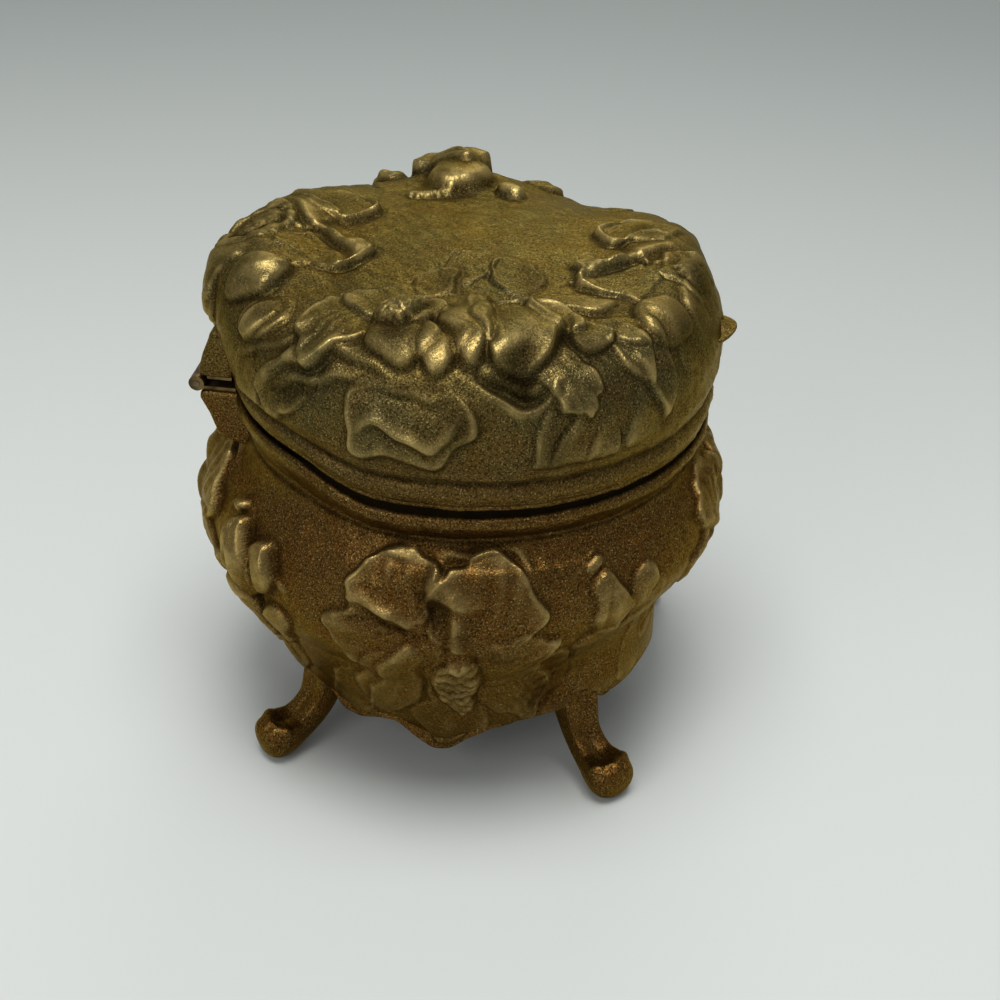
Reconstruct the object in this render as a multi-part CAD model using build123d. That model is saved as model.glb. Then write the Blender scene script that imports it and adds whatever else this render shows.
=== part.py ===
from build123d import *
import math
import os

# Jewelry casket: cast white metal, a round bombe body on four cabriole legs, a hinged domed lid,
# poppies in high relief on both, and a silk lining.
# The origin is on the floor under the middle. The hinge is at +Y and the lift petal at -Y.

# Lid casting
lid_edge_radius = 45.0
lid_edge_height = 72.2
lid_bead_height = 4.2
lid_bead_swell = 0.8
lid_wall_radius = 46.6
lid_shoulder_height = 94.6
lid_shoulder_round = 12.0
lid_apex_height = 98.3
lid_wall = 2.2
lift_height = 86.0
lid_foot_flare = 4.0
lid_bead_fillet = 1.0
lid_lip_height = 1.2
lid_lip_slope = 1.0
lid_bead_neck = 0.4
lift_petal_width = 10
lift_petal_length = 9
lift_petal_rise = 2.6
lift_petal_sink = 0.4
lift_petal_lean = 60

# Body casting
lid_seat_gap = 0.3
collar_radius = 44.4
collar_brow_width = 0.6
collar_brow_height = 1.2
collar_foot_rise = 2.6
collar_foot_slope = 1.4
groove_radius = 43.4
groove_height = 63.0
neck_hollow = 0.5
neck_hollow_drop = 0.4
shoulder_radius = 46.6
shoulder_height = 57.0
belly_radius = 49.4
belly_height = 47.0
haunch_radius = 45.8
haunch_height = 33.0
ledge_radius = 38.6
ledge_height = 16.5
apron_radius = 36.6
apron_tip_height = 9.0
apron_lip_flare = 0.6
apron_lip_height = 3
body_wall = 2.2
ledge_thickness = 2.0
ledge_width = 7.0
scallop_radius = 51.0
leg_seat_clearance = 0.2

# Sheet bottom, laid on the ledge
bottom_thickness = 1.2
bottom_clearance = 0.3

# Legs
leg_count = 4
leg_top_radius = 34.6
leg_top_width = 10.0
leg_waist_width = 7.6
leg_depth_share = 0.92
leg_foot_radius = 46.8
toe_width = 9.8
toe_length = 4.6
toe_pad_sink = 0.5
leg_sides = 12

# Hinge
hinge_axis_y = 49.8
hinge_axis_height = 73.4
hinge_length = 34.0
hinge_knuckles = 5
knuckle_radius = 1.5
knuckle_gap = 0.25
pin_radius = 0.6
pin_clearance = 0.05
leaf_thickness = 0.7
leaf_clearance = 0.2
lug_clearance = 0.02
lug_height = 9.0
body_lug_height = 8.0
lug_overhang = 0.2
lug_root = 6.0
lug_back_edge = 1.5
lid_lug_slope = 0.35
body_lug_sink = 0.5
lid_lug_sink = 1.0
leaf_end_margin = 1.0
leaf_inner_edge = 36
leaf_slot_clearance = 0.4
leaf_slot_height = 8

# Silk lining over card
lining_gap = 0.4
card_thickness = 0.8
silk_thickness = 1.5
lining_top_drop = 1.4
cushion_edge_height = 3.2
cushion_crown = 3.6
lid_cushion_depth = 5.0
lid_lining_height = 84.0
edge_cord_radius = 0.8

# Relief
body_petal_rise = 2.6
body_petal_low = 2.0
seed_rise = 3.0
bud_rise = 3.2
lid_petal_rise = 2.4
lid_petal_low = 1.9
lid_bud_rise = 3.6
lid_fold_rise = 5.0
petal_root = 3.0
petal_sides = 8
lift_side_share = 0.8

# Cutters, longer than anything they cut
cutter_length = 400.0


def spin(shape, angle):
    return shape.rotate(Axis.Z, angle)


def turned(profile):
    return revolve(make_face(profile), Axis.Z)


def cap(radius, edge, top):
    # arc of a sphere centred on the axis, from its edge up to its top
    rise = top - edge
    sphere = (radius ** 2 + rise ** 2) / (2 * rise)
    half = math.asin(radius / sphere) / 2
    middle = Vector(sphere * math.sin(half), 0, top - sphere * (1 - math.cos(half)))
    return ThreePointArc(Vector(radius, 0, edge), middle, Vector(0, 0, top))


def body_outline():
    # the S-shaped side of the body: hollow neck, round belly, straight haunch down to the ledge
    neck = Vector(groove_radius, 0, groove_height)
    shoulder = Vector(shoulder_radius, 0, shoulder_height)
    haunch = Vector(haunch_radius, 0, haunch_height)
    hollow = (neck + shoulder) * 0.5 + Vector(-neck_hollow, 0, -neck_hollow_drop)
    return Wire([
        ThreePointArc(neck, hollow, shoulder),
        ThreePointArc(shoulder, Vector(belly_radius, 0, belly_height), haunch),
        Line(haunch, Vector(ledge_radius, 0, ledge_height)),
    ])


side_steps = 60
side_line = body_outline()
side_places = [side_line @ (i / side_steps) for i in range(side_steps + 1)]
side_slopes = [side_line % (i / side_steps) for i in range(side_steps + 1)]


def lid_profile(inset, foot_height):
    # half section of the lid: steep wall, rounded shoulder and a flat dome up to the apex
    radius = lid_wall_radius - inset
    shoulder = Vector(radius, 0, lid_shoulder_height - inset)
    dome = cap(radius, shoulder.Z, lid_apex_height - inset)
    wall = Line((radius, 0, foot_height), shoulder)
    face = make_face(wall + dome + Polyline(dome @ 1, (0, 0, foot_height), (radius, 0, foot_height)))
    corner = face.vertices().sort_by_distance(shoulder)[0]
    return fillet(corner, lid_shoulder_round - inset)


def lid_place(walk):
    # the point of the lid's outer skin at a walk from the apex, and how steep the skin is there
    rise = lid_apex_height - lid_shoulder_height
    sphere = (lid_wall_radius ** 2 + rise ** 2) / (2 * rise)
    flat = lid_wall_radius - lid_shoulder_round
    lean = math.asin(flat / (sphere - lid_shoulder_round))
    if walk < sphere * lean:
        steep = walk / sphere
        return Vector(sphere * math.sin(steep), 0, lid_apex_height - sphere * (1 - math.cos(steep))), steep
    steep = lean + (walk - sphere * lean) / lid_shoulder_round
    hub_height = lid_apex_height - sphere + (sphere - lid_shoulder_round) * math.cos(lean)
    over = max(steep - math.pi / 2, 0) * lid_shoulder_round
    steep = min(steep, math.pi / 2)
    offset = Vector(lid_shoulder_round * math.sin(steep), 0, lid_shoulder_round * math.cos(steep) - over)
    return Vector(flat, 0, hub_height) + offset, steep


def oval(width, length, height):
    # an egg-shaped ring of straight sides, lying flat at a height
    turns = [2 * math.pi * i / petal_sides for i in range(petal_sides)]
    points = [(width / 2 * math.cos(t) * (1 + 0.2 * math.sin(t)), length / 2 * math.sin(t), height) for t in turns]
    return make_face(Polyline(*points, close=True))


def mass(width, length, rise):
    # a petal or bud: its root buried in the wall, its sides drawn in to a small crown
    root = oval(width, length, -petal_root)
    brow = oval(width * 0.92, length * 0.92, rise * 0.6)
    crown = oval(width * 0.5, length * 0.55, rise)
    return loft([root, brow, crown], ruled=True)


def side_step(height):
    # which step of the body's side lies at a height
    return min(range(side_steps + 1), key=lambda i: abs(side_places[i].Z - height))


def side_radius(height):
    return side_places[side_step(height)].X


def on_side(offset, height, width, length, rise, roll=0):
    # a mass on the face that looks along +X, leaning with the side; roll turns its long axis
    place = side_places[side_step(height)]
    slope = side_slopes[side_step(height)]
    lean = math.degrees(math.atan2(-slope.X, -slope.Z))
    seat = Pos(place.X, 0, place.Z) * Rot(0, 90 + lean, 0) * Rot(0, 0, 90 + roll)
    return spin(seat * mass(width, length, rise), math.degrees(offset / place.X))


def on_lid(across, walk, width, length, rise, roll=0):
    # a mass on the lid above the face that looks along +X, set out on its skin flattened round the apex
    turn = math.atan2(across, walk)
    place, steep = lid_place(math.hypot(across, walk))
    seat = Pos(place.X, 0, place.Z) * Rot(0, math.degrees(steep), 0) * Rot(0, 0, 90 - roll - math.degrees(turn))
    return spin(seat * mass(width, length, rise), math.degrees(turn))


def body_flower():
    # the poppy of one face: two ruffled petals, the seed boss, and the petals and sepals under it
    tall = body_petal_rise
    low = body_petal_low
    return [
        on_side(-6.5, 53, 18, 12, tall, 8),
        on_side(11, 51, 20, 19, tall, -4),
        on_side(-9, 42, 17, 14, low, 12),
        on_side(17, 39, 13, 16, low, -8),
        on_side(5.5, 31, 11, 17, seed_rise, 0),
        on_side(-8, 29, 13, 22, low, -24),
        on_side(18, 27, 14, 19, low, 22),
    ]


def body_corner():
    # buds over a leg
    return [
        on_side(-2.5, 47, 9, 14, bud_rise, -12),
        on_side(4.5, 48, 7, 11, bud_rise * 0.8, 20),
        on_side(0, 32, 14, 18, body_petal_low, 0),
    ]


def near_spray():
    # a poppy folded double, a bud full of seeds, and petals that fall down the wall
    return [
        on_lid(5, 30, 9, 21, lid_fold_rise, -3),
        on_lid(13, 31, 10, 20, lid_fold_rise * 0.85, 12),
        on_lid(-6, 31, 11, 13, lid_bud_rise, 0),
        on_lid(-18, 31, 14, 17, lid_petal_rise, 20),
        on_lid(20, 26, 10, 12, lid_bud_rise * 0.8, 15),
        on_lid(-4, 47, 14, 23, lid_petal_low, 90),
        on_lid(29, 43, 15, 18, lid_petal_low, 40),
        on_lid(-29, 40, 9, 20, lid_petal_low, -65),
    ]


def seed_spray(share=1.0):
    # an open poppy round its seed head, with long petals beside it
    return [
        on_lid(0, 40, 16, 14, lid_bud_rise * share, 0),
        on_lid(6, 28, 13, 17, lid_petal_rise, -12),
        on_lid(-12, 29, 10, 15, lid_petal_rise, -20),
        on_lid(17, 36, 10, 12, lid_bud_rise * share * 0.8, 0),
        on_lid(-32, 35, 8, 15, lid_petal_low, 12),
        on_lid(30, 33, 9, 14, lid_petal_low, -30),
        on_lid(4, 49, 12, 22, lid_petal_low * share, 90),
    ]


def far_spray():
    # a tall bud between two small ones, and an open petal behind it
    return [
        on_lid(9, 30, 13, 18, lid_fold_rise, -5),
        on_lid(3, 43, 14, 24, lid_bud_rise * 0.8, 90),
        on_lid(18, 38, 9, 11, lid_bud_rise, -15),
        on_lid(-3, 30, 6, 11, lid_petal_rise, 5),
        on_lid(-14, 37, 9, 14, lid_petal_rise, 25),
        on_lid(28, 42, 14, 17, lid_petal_low, 40),
        on_lid(-28, 42, 12, 18, lid_petal_low, -40),
    ]


def make_body_shell():
    top = lid_edge_height - lid_seat_gap
    neck = Vector(groove_radius, 0, groove_height)
    ledge = Vector(ledge_radius, 0, ledge_height)
    solid = turned(side_line.edges() + Polyline(
        ledge, (0, 0, ledge_height), (0, 0, top), (collar_radius - collar_brow_width, 0, top),
        (collar_radius, 0, top - collar_brow_height), (collar_radius, 0, groove_height + collar_foot_rise),
        (groove_radius, 0, groove_height + collar_foot_rise - collar_foot_slope), neck).edges())
    solid += turned(apron_outline()) - scallops() - leg_seats()
    solid = solid.fuse(*[spin(m, 90 * i) for i in range(4) for m in body_flower()])
    solid = solid.fuse(*[spin(m, 90 * i + 45) for i in range(4) for m in body_corner()])
    solid += body_lug()
    floor = ledge_height + ledge_thickness
    cavity = turned(Polyline(
        (0, 0, floor), (side_radius(floor) - body_wall, 0, floor), (haunch_radius - body_wall, 0, haunch_height),
        (belly_radius - body_wall, 0, belly_height), (shoulder_radius - body_wall, 0, shoulder_height),
        (groove_radius - body_wall, 0, groove_height), (collar_radius - body_wall - 1, 0, top + 1),
        (0, 0, top + 1), close=True))
    hole = Pos(0, 0, ledge_height - 1) * Cylinder(
        ledge_radius - ledge_width, ledge_thickness + 2, align=(Align.CENTER, Align.CENTER, Align.MIN))
    return solid - cavity - hole


def apron_outline():
    # section of the skirt that hangs under the ledge, its hem turned out a little
    lip = apron_radius + apron_lip_flare
    turn = apron_tip_height + apron_lip_height
    return Polyline(
        (ledge_radius - body_wall, 0, ledge_height + 1), (ledge_radius, 0, ledge_height + 1),
        (ledge_radius, 0, ledge_height), (apron_radius, 0, turn), (lip, 0, apron_tip_height),
        (lip - body_wall, 0, apron_tip_height), (apron_radius - body_wall, 0, turn), close=True)


def scallops():
    # the hem rises in an arch over each leg and falls to a tip under each flower
    reach = 2 * ledge_radius
    arch = Pos(0, 0, ledge_height - scallop_radius) * Rot(0, 90, 0) * Cylinder(
        scallop_radius, reach, align=(Align.CENTER, Align.CENTER, Align.MIN))
    return Compound([spin(arch, 45 + 90 * i) for i in range(leg_count)])


def leg_seats():
    # the hem is cleared at each corner so that the leg butts flat against the ledge
    slot = Pos(0, 0, ledge_height) * Box(
        2 * ledge_radius, leg_top_width + 2 * leg_seat_clearance, ledge_height,
        align=(Align.MIN, Align.CENTER, Align.MAX))
    return Compound([spin(slot, 45 + 90 * i) for i in range(leg_count)])


def hinge_leaf_plane(top):
    # height of the face where a leaf lies against its lug
    reach = knuckle_radius + lug_clearance
    return hinge_axis_height + (reach if top else -reach)


def lug(side, inner_radius):
    # a hinge lug as long as the hinge, from its side view, hollowed to the round of the rim
    block = Pos(-hinge_length / 2, 0, 0) * extrude(make_face(Polyline(*side, close=True)), hinge_length, dir=(1, 0, 0))
    return block - Cylinder(inner_radius, cutter_length)


def body_lug():
    # the wedge under the hinge, drawn down into the body's neck
    high = hinge_leaf_plane(False)
    low = high - body_lug_height
    back = hinge_axis_y + lug_overhang
    root = groove_radius - lug_root
    side = [(0, root, high), (0, back, high), (0, back, high - lug_back_edge), (0, groove_radius, low), (0, root, low)]
    return lug(side, groove_radius - body_lug_sink)


def lid_lug():
    # the wedge over the hinge, sloping back to the lid's wall
    low = hinge_leaf_plane(True)
    high = low + lug_height
    back = hinge_axis_y + lug_overhang
    root = lid_edge_radius - lug_root
    side = [(0, root, low), (0, back, low), (0, back, low + (high - low) * 0.2),
            (0, back - lug_height * lid_lug_slope, high), (0, root, high)]
    return lug(side, lid_edge_radius - lid_lug_sink)


def make_lid_shell():
    edge = lid_edge_height
    bead_top = edge + lid_bead_height
    wall_foot = bead_top + lid_foot_flare
    foot = Polyline(
        (0, 0, edge), (lid_edge_radius, 0, edge), (lid_edge_radius, 0, edge + lid_lip_height),
        (lid_edge_radius + lid_bead_swell, 0, edge + lid_lip_height + lid_lip_slope),
        (lid_edge_radius + lid_bead_swell, 0, bead_top),
        (lid_edge_radius + lid_bead_neck, 0, bead_top + lid_bead_fillet),
        (lid_wall_radius, 0, wall_foot), (0, 0, wall_foot), close=True)
    solid = revolve(lid_profile(0, wall_foot), Axis.Z) + turned(foot)
    sprays = {0: far_spray(), 90: seed_spray(), 180: near_spray(), 270: seed_spray(lift_side_share)}
    for facing, spray in sprays.items():
        solid = solid.fuse(*[spin(m, facing) for m in spray])
    solid += lift_petal()
    solid += lid_lug()
    reach = lid_edge_radius - lid_wall
    skirt = Polyline(
        (0, 0, edge - 1), (reach, 0, edge - 1), (reach, 0, bead_top), (lid_wall_radius - lid_wall, 0, wall_foot),
        (0, 0, wall_foot), close=True)
    return solid - revolve(lid_profile(lid_wall, wall_foot), Axis.Z) - turned(skirt)


def lift_petal():
    # the pointed petal at the front by which the lid is lifted
    seat = Pos(0, lift_petal_sink - lid_wall_radius, lift_height) * Rot(lift_petal_lean, 0, 0)
    return seat * mass(lift_petal_width, lift_petal_length, lift_petal_rise)


def make_bottom_plate():
    radius = side_radius(ledge_height + ledge_thickness) - body_wall - bottom_clearance
    return Pos(0, 0, ledge_height + ledge_thickness) * Cylinder(
        radius, bottom_thickness, align=(Align.CENTER, Align.CENTER, Align.MIN))


def make_leg():
    # cabriole leg in the XZ plane: down from the ledge, kicked out, and rounded off in a toe
    axle = toe_width / 2 - toe_pad_sink
    reach = leg_foot_radius - leg_top_radius
    stations = [
        (leg_top_radius, ledge_height, 0, leg_top_width),
        (leg_top_radius + 0.05 * reach, ledge_height * 0.76, 12, leg_waist_width + 1.2),
        (leg_top_radius + 0.20 * reach, ledge_height * 0.53, 32, leg_waist_width),
        (leg_top_radius + 0.46 * reach, ledge_height * 0.36, 62, leg_waist_width),
        (leg_foot_radius - 3.4, axle + 0.2, 84, toe_width * 0.9),
        (leg_foot_radius, axle, 90, toe_width),
        (leg_foot_radius + toe_length * 0.6, axle, 90, toe_width * 0.84),
        (leg_foot_radius + toe_length, axle, 90, toe_width * 0.42),
    ]
    rings = []
    for radius, height, swing, width in stations:
        ahead = Vector(math.sin(math.radians(swing)), 0, -math.cos(math.radians(swing)))
        plane = Plane(origin=(radius, 0, height), x_dir=(0, 1, 0), z_dir=ahead)
        rings.append(plane * scale(RegularPolygon(width / 2, leg_sides), by=(1, leg_depth_share, 1)))
    floor = Pos(leg_foot_radius, 0, 0) * Box(60, 60, 20, align=(Align.CENTER, Align.CENTER, Align.MAX))
    return loft(rings, ruled=True) - floor


def knuckle_spans(own):
    # the knuckles of the two leaves take turns along the pin
    pitch = hinge_length / hinge_knuckles
    first = -hinge_length / 2
    wanted = range(0, hinge_knuckles, 2) if own == "body" else range(1, hinge_knuckles, 2)
    return [(first + i * pitch + knuckle_gap / 2, first + (i + 1) * pitch - knuckle_gap / 2) for i in wanted]


def make_leaf(own):
    # a flat sheet leaf with its knuckles rolled round the pin, its inner edge cut to the round rim
    sign = 1 if own == "lid" else -1
    rim = lid_edge_radius + (lid_bead_swell if own == "lid" else leaf_clearance)
    outer = hinge_axis_height + sign * knuckle_radius
    sheet = Box(hinge_length - 2 * leaf_end_margin, hinge_axis_y - leaf_inner_edge, leaf_thickness,
                align=(Align.CENTER, Align.MAX, Align.MAX if sign > 0 else Align.MIN))
    leaf = Pos(0, hinge_axis_y, outer) * sheet
    leaf -= Cylinder(rim + leaf_clearance, cutter_length)
    other = "lid" if own == "body" else "body"
    for low, high in knuckle_spans(other):
        clear = Box(high - low + 2 * knuckle_gap, 2 * (knuckle_radius + leaf_slot_clearance), leaf_slot_height)
        leaf -= Pos((low + high) / 2, hinge_axis_y, hinge_axis_height) * clear
    for low, high in knuckle_spans(own):
        tube = Cylinder(knuckle_radius, high - low, rotation=(0, 90, 0))
        leaf += Pos((low + high) / 2, hinge_axis_y, hinge_axis_height) * tube
    bore = Cylinder(pin_radius + pin_clearance, 2 * hinge_length, rotation=(0, 90, 0))
    return leaf - Pos(0, hinge_axis_y, hinge_axis_height) * bore


def make_pin():
    return Pos(0, hinge_axis_y, hinge_axis_height) * Cylinder(pin_radius, hinge_length, rotation=(0, 90, 0))


def band(top_radius, top, foot_radius, foot, thickness):
    # a turned band, a little narrower at its foot
    return turned(Polyline(
        (top_radius, 0, top), (foot_radius, 0, foot), (foot_radius - thickness, 0, foot),
        (top_radius - thickness, 0, top), close=True))


body_floor = ledge_height + ledge_thickness + bottom_thickness
body_lining_radius = groove_radius - body_wall - lining_gap
body_lining_top = lid_edge_height - lid_seat_gap - lining_top_drop
lining_foot_radius = ledge_radius - body_wall - 2 * lining_gap
silk_radius = body_lining_radius - card_thickness - lining_gap
silk_foot_radius = lining_foot_radius - card_thickness - lining_gap
floor_card_radius = silk_foot_radius - silk_thickness - lining_gap
floor_card_base = body_floor + lining_gap / 2
cushion_base = floor_card_base + card_thickness + lining_gap / 2
lid_lining_radius = lid_edge_radius - lid_wall - lining_gap
lid_band_foot = lid_edge_height + lining_top_drop
lid_silk_radius = lid_lining_radius - card_thickness - lining_gap
lid_pad_radius = lid_silk_radius - silk_thickness - lining_gap


def make_cushion(radius, base, edge, crown):
    # a round stuffed pad: drawn in at its foot and its brow, crowned on top
    return turned(Polyline(
        (0, 0, base), (radius - 1.4, 0, base), (radius, 0, base + edge * 0.45), (radius - 1.8, 0, base + edge),
        (radius * 0.62, 0, base + edge + crown * 0.62), (radius * 0.3, 0, base + edge + crown * 0.92),
        (0, 0, base + edge + crown), close=True))


def make_ring(radius, height):
    # the cord along the edge of the silk, of square section
    reach = edge_cord_radius
    return turned(Polyline(
        (radius - reach, 0, height), (radius, 0, height - reach), (radius + reach, 0, height),
        (radius, 0, height + reach), close=True))


def make_lid_card():
    return Pos(0, 0, lid_lining_height) * Cylinder(
        lid_pad_radius - 0.5, card_thickness, align=(Align.CENTER, Align.CENTER, Align.MIN))


def make_lid_cushion():
    pad = make_cushion(lid_pad_radius, 0, lid_cushion_depth * 0.45, lid_cushion_depth * 0.55)
    return Pos(0, 0, lid_lining_height - lining_gap / 2) * pad.rotate(Axis.X, 180)


def build():
    parts = {
        "body_shell": make_body_shell(),
        "bottom_plate": make_bottom_plate(),
        "lid_shell": make_lid_shell(),
        "hinge_leaf_body": make_leaf("body"),
        "hinge_leaf_lid": make_leaf("lid"),
        "hinge_pin": make_pin(),
        "body_wall_card": band(body_lining_radius, body_lining_top, lining_foot_radius,
                               body_floor + lining_gap / 2, card_thickness),
        "body_wall_silk": band(silk_radius, body_lining_top, silk_foot_radius,
                               body_floor + lining_gap / 2, silk_thickness),
        "body_floor_card": Pos(0, 0, floor_card_base) * Cylinder(
            floor_card_radius, card_thickness, align=(Align.CENTER, Align.CENTER, Align.MIN)),
        "body_floor_cushion": make_cushion(floor_card_radius, cushion_base, cushion_edge_height, cushion_crown),
        "lid_wall_card": band(lid_lining_radius, lid_lining_height + 2, lid_lining_radius,
                              lid_band_foot, card_thickness),
        "lid_wall_silk": band(lid_silk_radius, lid_lining_height + 1, lid_silk_radius,
                              lid_band_foot, silk_thickness),
        "lid_top_card": make_lid_card(),
        "lid_top_cushion": make_lid_cushion(),
        "body_edge_cord": make_ring(silk_radius - silk_thickness / 2, body_lining_top + edge_cord_radius),
        "lid_edge_cord": make_ring(lid_silk_radius - silk_thickness / 2, lid_band_foot - edge_cord_radius),
    }
    leg = make_leg()
    for name, angle in (("leg_front_right", -45), ("leg_back_right", 45),
                        ("leg_back_left", 135), ("leg_front_left", -135)):
        parts[name] = spin(leg, angle)
    return parts


os.makedirs("parts", exist_ok=True)
for node, shape in build().items():
    export_step(shape, f"parts/{node}.step")
    print(node, "volume", round(shape.volume, 1), "mm3")
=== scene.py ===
# %% [markdown]
# A small round jewelry casket of cast white metal, finished in antique gold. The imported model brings
# every piece in its real place, so this script only dresses them: it builds the cast relief as dense
# meshes over the same outlines, and gives every surface its finish.

# %% Load the frame and note its box
import math
import bpy
import numpy as np
from mathutils import Matrix, Vector


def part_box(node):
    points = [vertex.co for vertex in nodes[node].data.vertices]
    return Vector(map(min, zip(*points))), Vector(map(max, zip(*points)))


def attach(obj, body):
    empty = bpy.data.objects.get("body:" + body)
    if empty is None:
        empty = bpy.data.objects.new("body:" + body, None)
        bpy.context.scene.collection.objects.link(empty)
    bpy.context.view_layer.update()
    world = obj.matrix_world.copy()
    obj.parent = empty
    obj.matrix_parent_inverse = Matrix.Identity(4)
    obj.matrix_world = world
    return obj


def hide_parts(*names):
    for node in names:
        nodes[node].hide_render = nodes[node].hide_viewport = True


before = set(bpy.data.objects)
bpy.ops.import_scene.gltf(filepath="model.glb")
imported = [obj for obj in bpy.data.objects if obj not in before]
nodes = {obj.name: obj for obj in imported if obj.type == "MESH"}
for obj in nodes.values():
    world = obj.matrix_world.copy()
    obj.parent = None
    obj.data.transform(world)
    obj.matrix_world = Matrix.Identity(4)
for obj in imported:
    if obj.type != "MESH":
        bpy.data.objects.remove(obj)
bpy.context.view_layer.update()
MM = 0.001


def into_scene(name, data):
    made = bpy.data.objects.new(name, data)
    bpy.context.scene.collection.objects.link(made)
    return made


def smooth_object(name, points, faces):
    # a smooth mesh, with its points in metres
    mesh = bpy.data.meshes.new(name)
    mesh.from_pydata(points, [], faces)
    mesh.polygons.foreach_set("use_smooth", [True] * len(faces))
    return into_scene(name, mesh)


# %% [markdown]
# The camera looks down on the side of the casket, so the hinge is at the left and the lift petal at
# the right. Its distance and height come from how round the rims look in the picture: a rim of 45 mm
# that shows this flat and this wide fixes the elevation and the lens.

# %% Camera
FOCAL_PIXELS = 1900
PICTURE_WIDTH = 1000
CAMERA_ELEVATION = 32.8
CAMERA_TURN = -81.0
CAMERA_ROLL = -1.0
CAMERA_DISTANCE = 369.3 * MM
SIDEWAYS = 5.5 * MM
LIFT = -16.8 * MM
AIM_HEIGHT = 62.9 * MM


def make_camera():
    turn, tilt, roll = (math.radians(a) for a in (CAMERA_TURN, CAMERA_ELEVATION, CAMERA_ROLL))
    right = Vector((math.cos(turn), math.sin(turn), 0))
    level = Vector((-math.sin(turn), math.cos(turn), 0))
    ahead = level * math.cos(tilt) - Vector((0, 0, math.sin(tilt)))
    up = right.cross(ahead)
    place = Vector((0, 0, AIM_HEIGHT)) - ahead * CAMERA_DISTANCE + right * SIDEWAYS + up * LIFT
    rolled_right = right * math.cos(roll) - up * math.sin(roll)
    rolled_up = right * math.sin(roll) + up * math.cos(roll)
    data = bpy.data.cameras.new("camera")
    data.sensor_width = 36
    data.lens = FOCAL_PIXELS / PICTURE_WIDTH * data.sensor_width
    camera = into_scene("camera", data)
    axes = Matrix((rolled_right, rolled_up, -ahead)).transposed().to_4x4()
    camera.matrix_world = Matrix.Translation(place) @ axes
    bpy.context.scene.camera = camera
    return camera


camera = make_camera()
print("camera at", [round(v, 4) for v in camera.location])

# %% [markdown]
# Old gold is lit softly, or its grain turns to glitter. A broad lamp overhead acts as a high window, a
# weak fill opens the shadows on the near side, and a weaker one behind draws the edge of the lid. Area
# lamps were chosen because their size sets how soft the shadow under the feet is.

# %% Stage and light
LAMP_AIM = Vector((0, 0, 0.05))
LAMPS = {
    # place, size in metres and power in watts
    "window": ((-0.12, -0.02, 0.90), 0.50, 6.6),
    "fill": ((-0.75, 0.35, 0.50), 0.50, 1.5),
    "back": ((0.70, 0.00, 0.55), 0.40, 1.0),
}


def make_lamp(name, place, size, power):
    data = bpy.data.lights.new(name, "AREA")
    data.energy = power
    data.size = size
    lamp = into_scene(name, data)
    lamp.location = place
    lamp.rotation_euler = (LAMP_AIM - Vector(place)).to_track_quat("-Z", "Y").to_euler()


for lamp_name, (place, size, power) in LAMPS.items():
    make_lamp(lamp_name, place, size, power)


# %% [markdown]
# Shader maths reads best as plain expressions. A Socket wraps one output of a node and knows how to add,
# take away and multiply, also with a number in front. The Paint that it belongs to adds the nodes.

# %% Shader expressions
class Socket:
    def __init__(self, paint, output):
        self.paint = paint
        self.output = output

    def __add__(self, other):
        return self.paint.maths("ADD", self, other)

    def __radd__(self, other):
        return self.paint.maths("ADD", other, self)

    def __sub__(self, other):
        return self.paint.maths("SUBTRACT", self, other)

    def __rsub__(self, other):
        return self.paint.maths("SUBTRACT", other, self)

    def __mul__(self, other):
        return self.paint.maths("MULTIPLY", self, other)

    def __rmul__(self, other):
        return self.paint.maths("MULTIPLY", other, self)

    def between(self, low, high):
        # 0 below low, 1 above high, smooth in between
        return self.paint.node("ShaderNodeMapRange", {"interpolation_type": "SMOOTHSTEP"},
                               Value=self, From_Min=low, From_Max=high)

    def clamped(self):
        return self.paint.node("ShaderNodeClamp", {}, Value=self)


class Paint:
    # one material, with its principled shader ready
    def __init__(self, name, **settings):
        self.material = bpy.data.materials.new(name)
        self.material.use_nodes = True
        self.tree = self.material.node_tree
        self.shader = self.tree.nodes["Principled BSDF"]
        for socket, value in settings.items():
            self.shader.inputs[socket.replace("_", " ")].default_value = value

    def plug(self, socket, value):
        if isinstance(value, Socket):
            self.tree.links.new(value.output, socket)
        else:
            socket.default_value = value

    def node(self, kind, settings, out=0, **inputs):
        made = self.tree.nodes.new(kind)
        for key, value in settings.items():
            setattr(made, key, value)
        for key, value in inputs.items():
            self.plug(made.inputs[key.replace("_", " ")], value)
        return Socket(self, made.outputs[out])

    def maths(self, operation, first, second):
        made = self.tree.nodes.new("ShaderNodeMath")
        made.operation = operation
        self.plug(made.inputs[0], first)
        self.plug(made.inputs[1], second)
        return Socket(self, made.outputs[0])

    def mix(self, factor, first, second):
        made = self.tree.nodes.new("ShaderNodeMix")
        made.data_type = "RGBA"
        self.plug(made.inputs[0], factor)
        self.plug(made.inputs[6], first)
        self.plug(made.inputs[7], second)
        return Socket(self, made.outputs[2])

    def place(self):
        return self.node("ShaderNodeTexCoord", {}, out=3)

    def noise(self, scale, detail=3.0, roughness=0.55):
        return self.node("ShaderNodeTexNoise", {}, Vector=self.place(), Scale=scale, Detail=detail,
                         Roughness=roughness)

    def reading(self, name):
        # a number stored on the mesh's points
        return self.node("ShaderNodeAttribute", {"attribute_name": name}, out=2)

    def height(self):
        return self.node("ShaderNodeSeparateXYZ", {}, out=2, Vector=self.place())

    def bump(self, height, strength, distance, **under):
        return self.node("ShaderNodeBump", {}, Height=height, Strength=strength, Distance=distance, **under)

    def to(self, **links):
        for socket, value in links.items():
            self.plug(self.shader.inputs[socket.replace("_", " ")], value)
        return self.material


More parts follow.
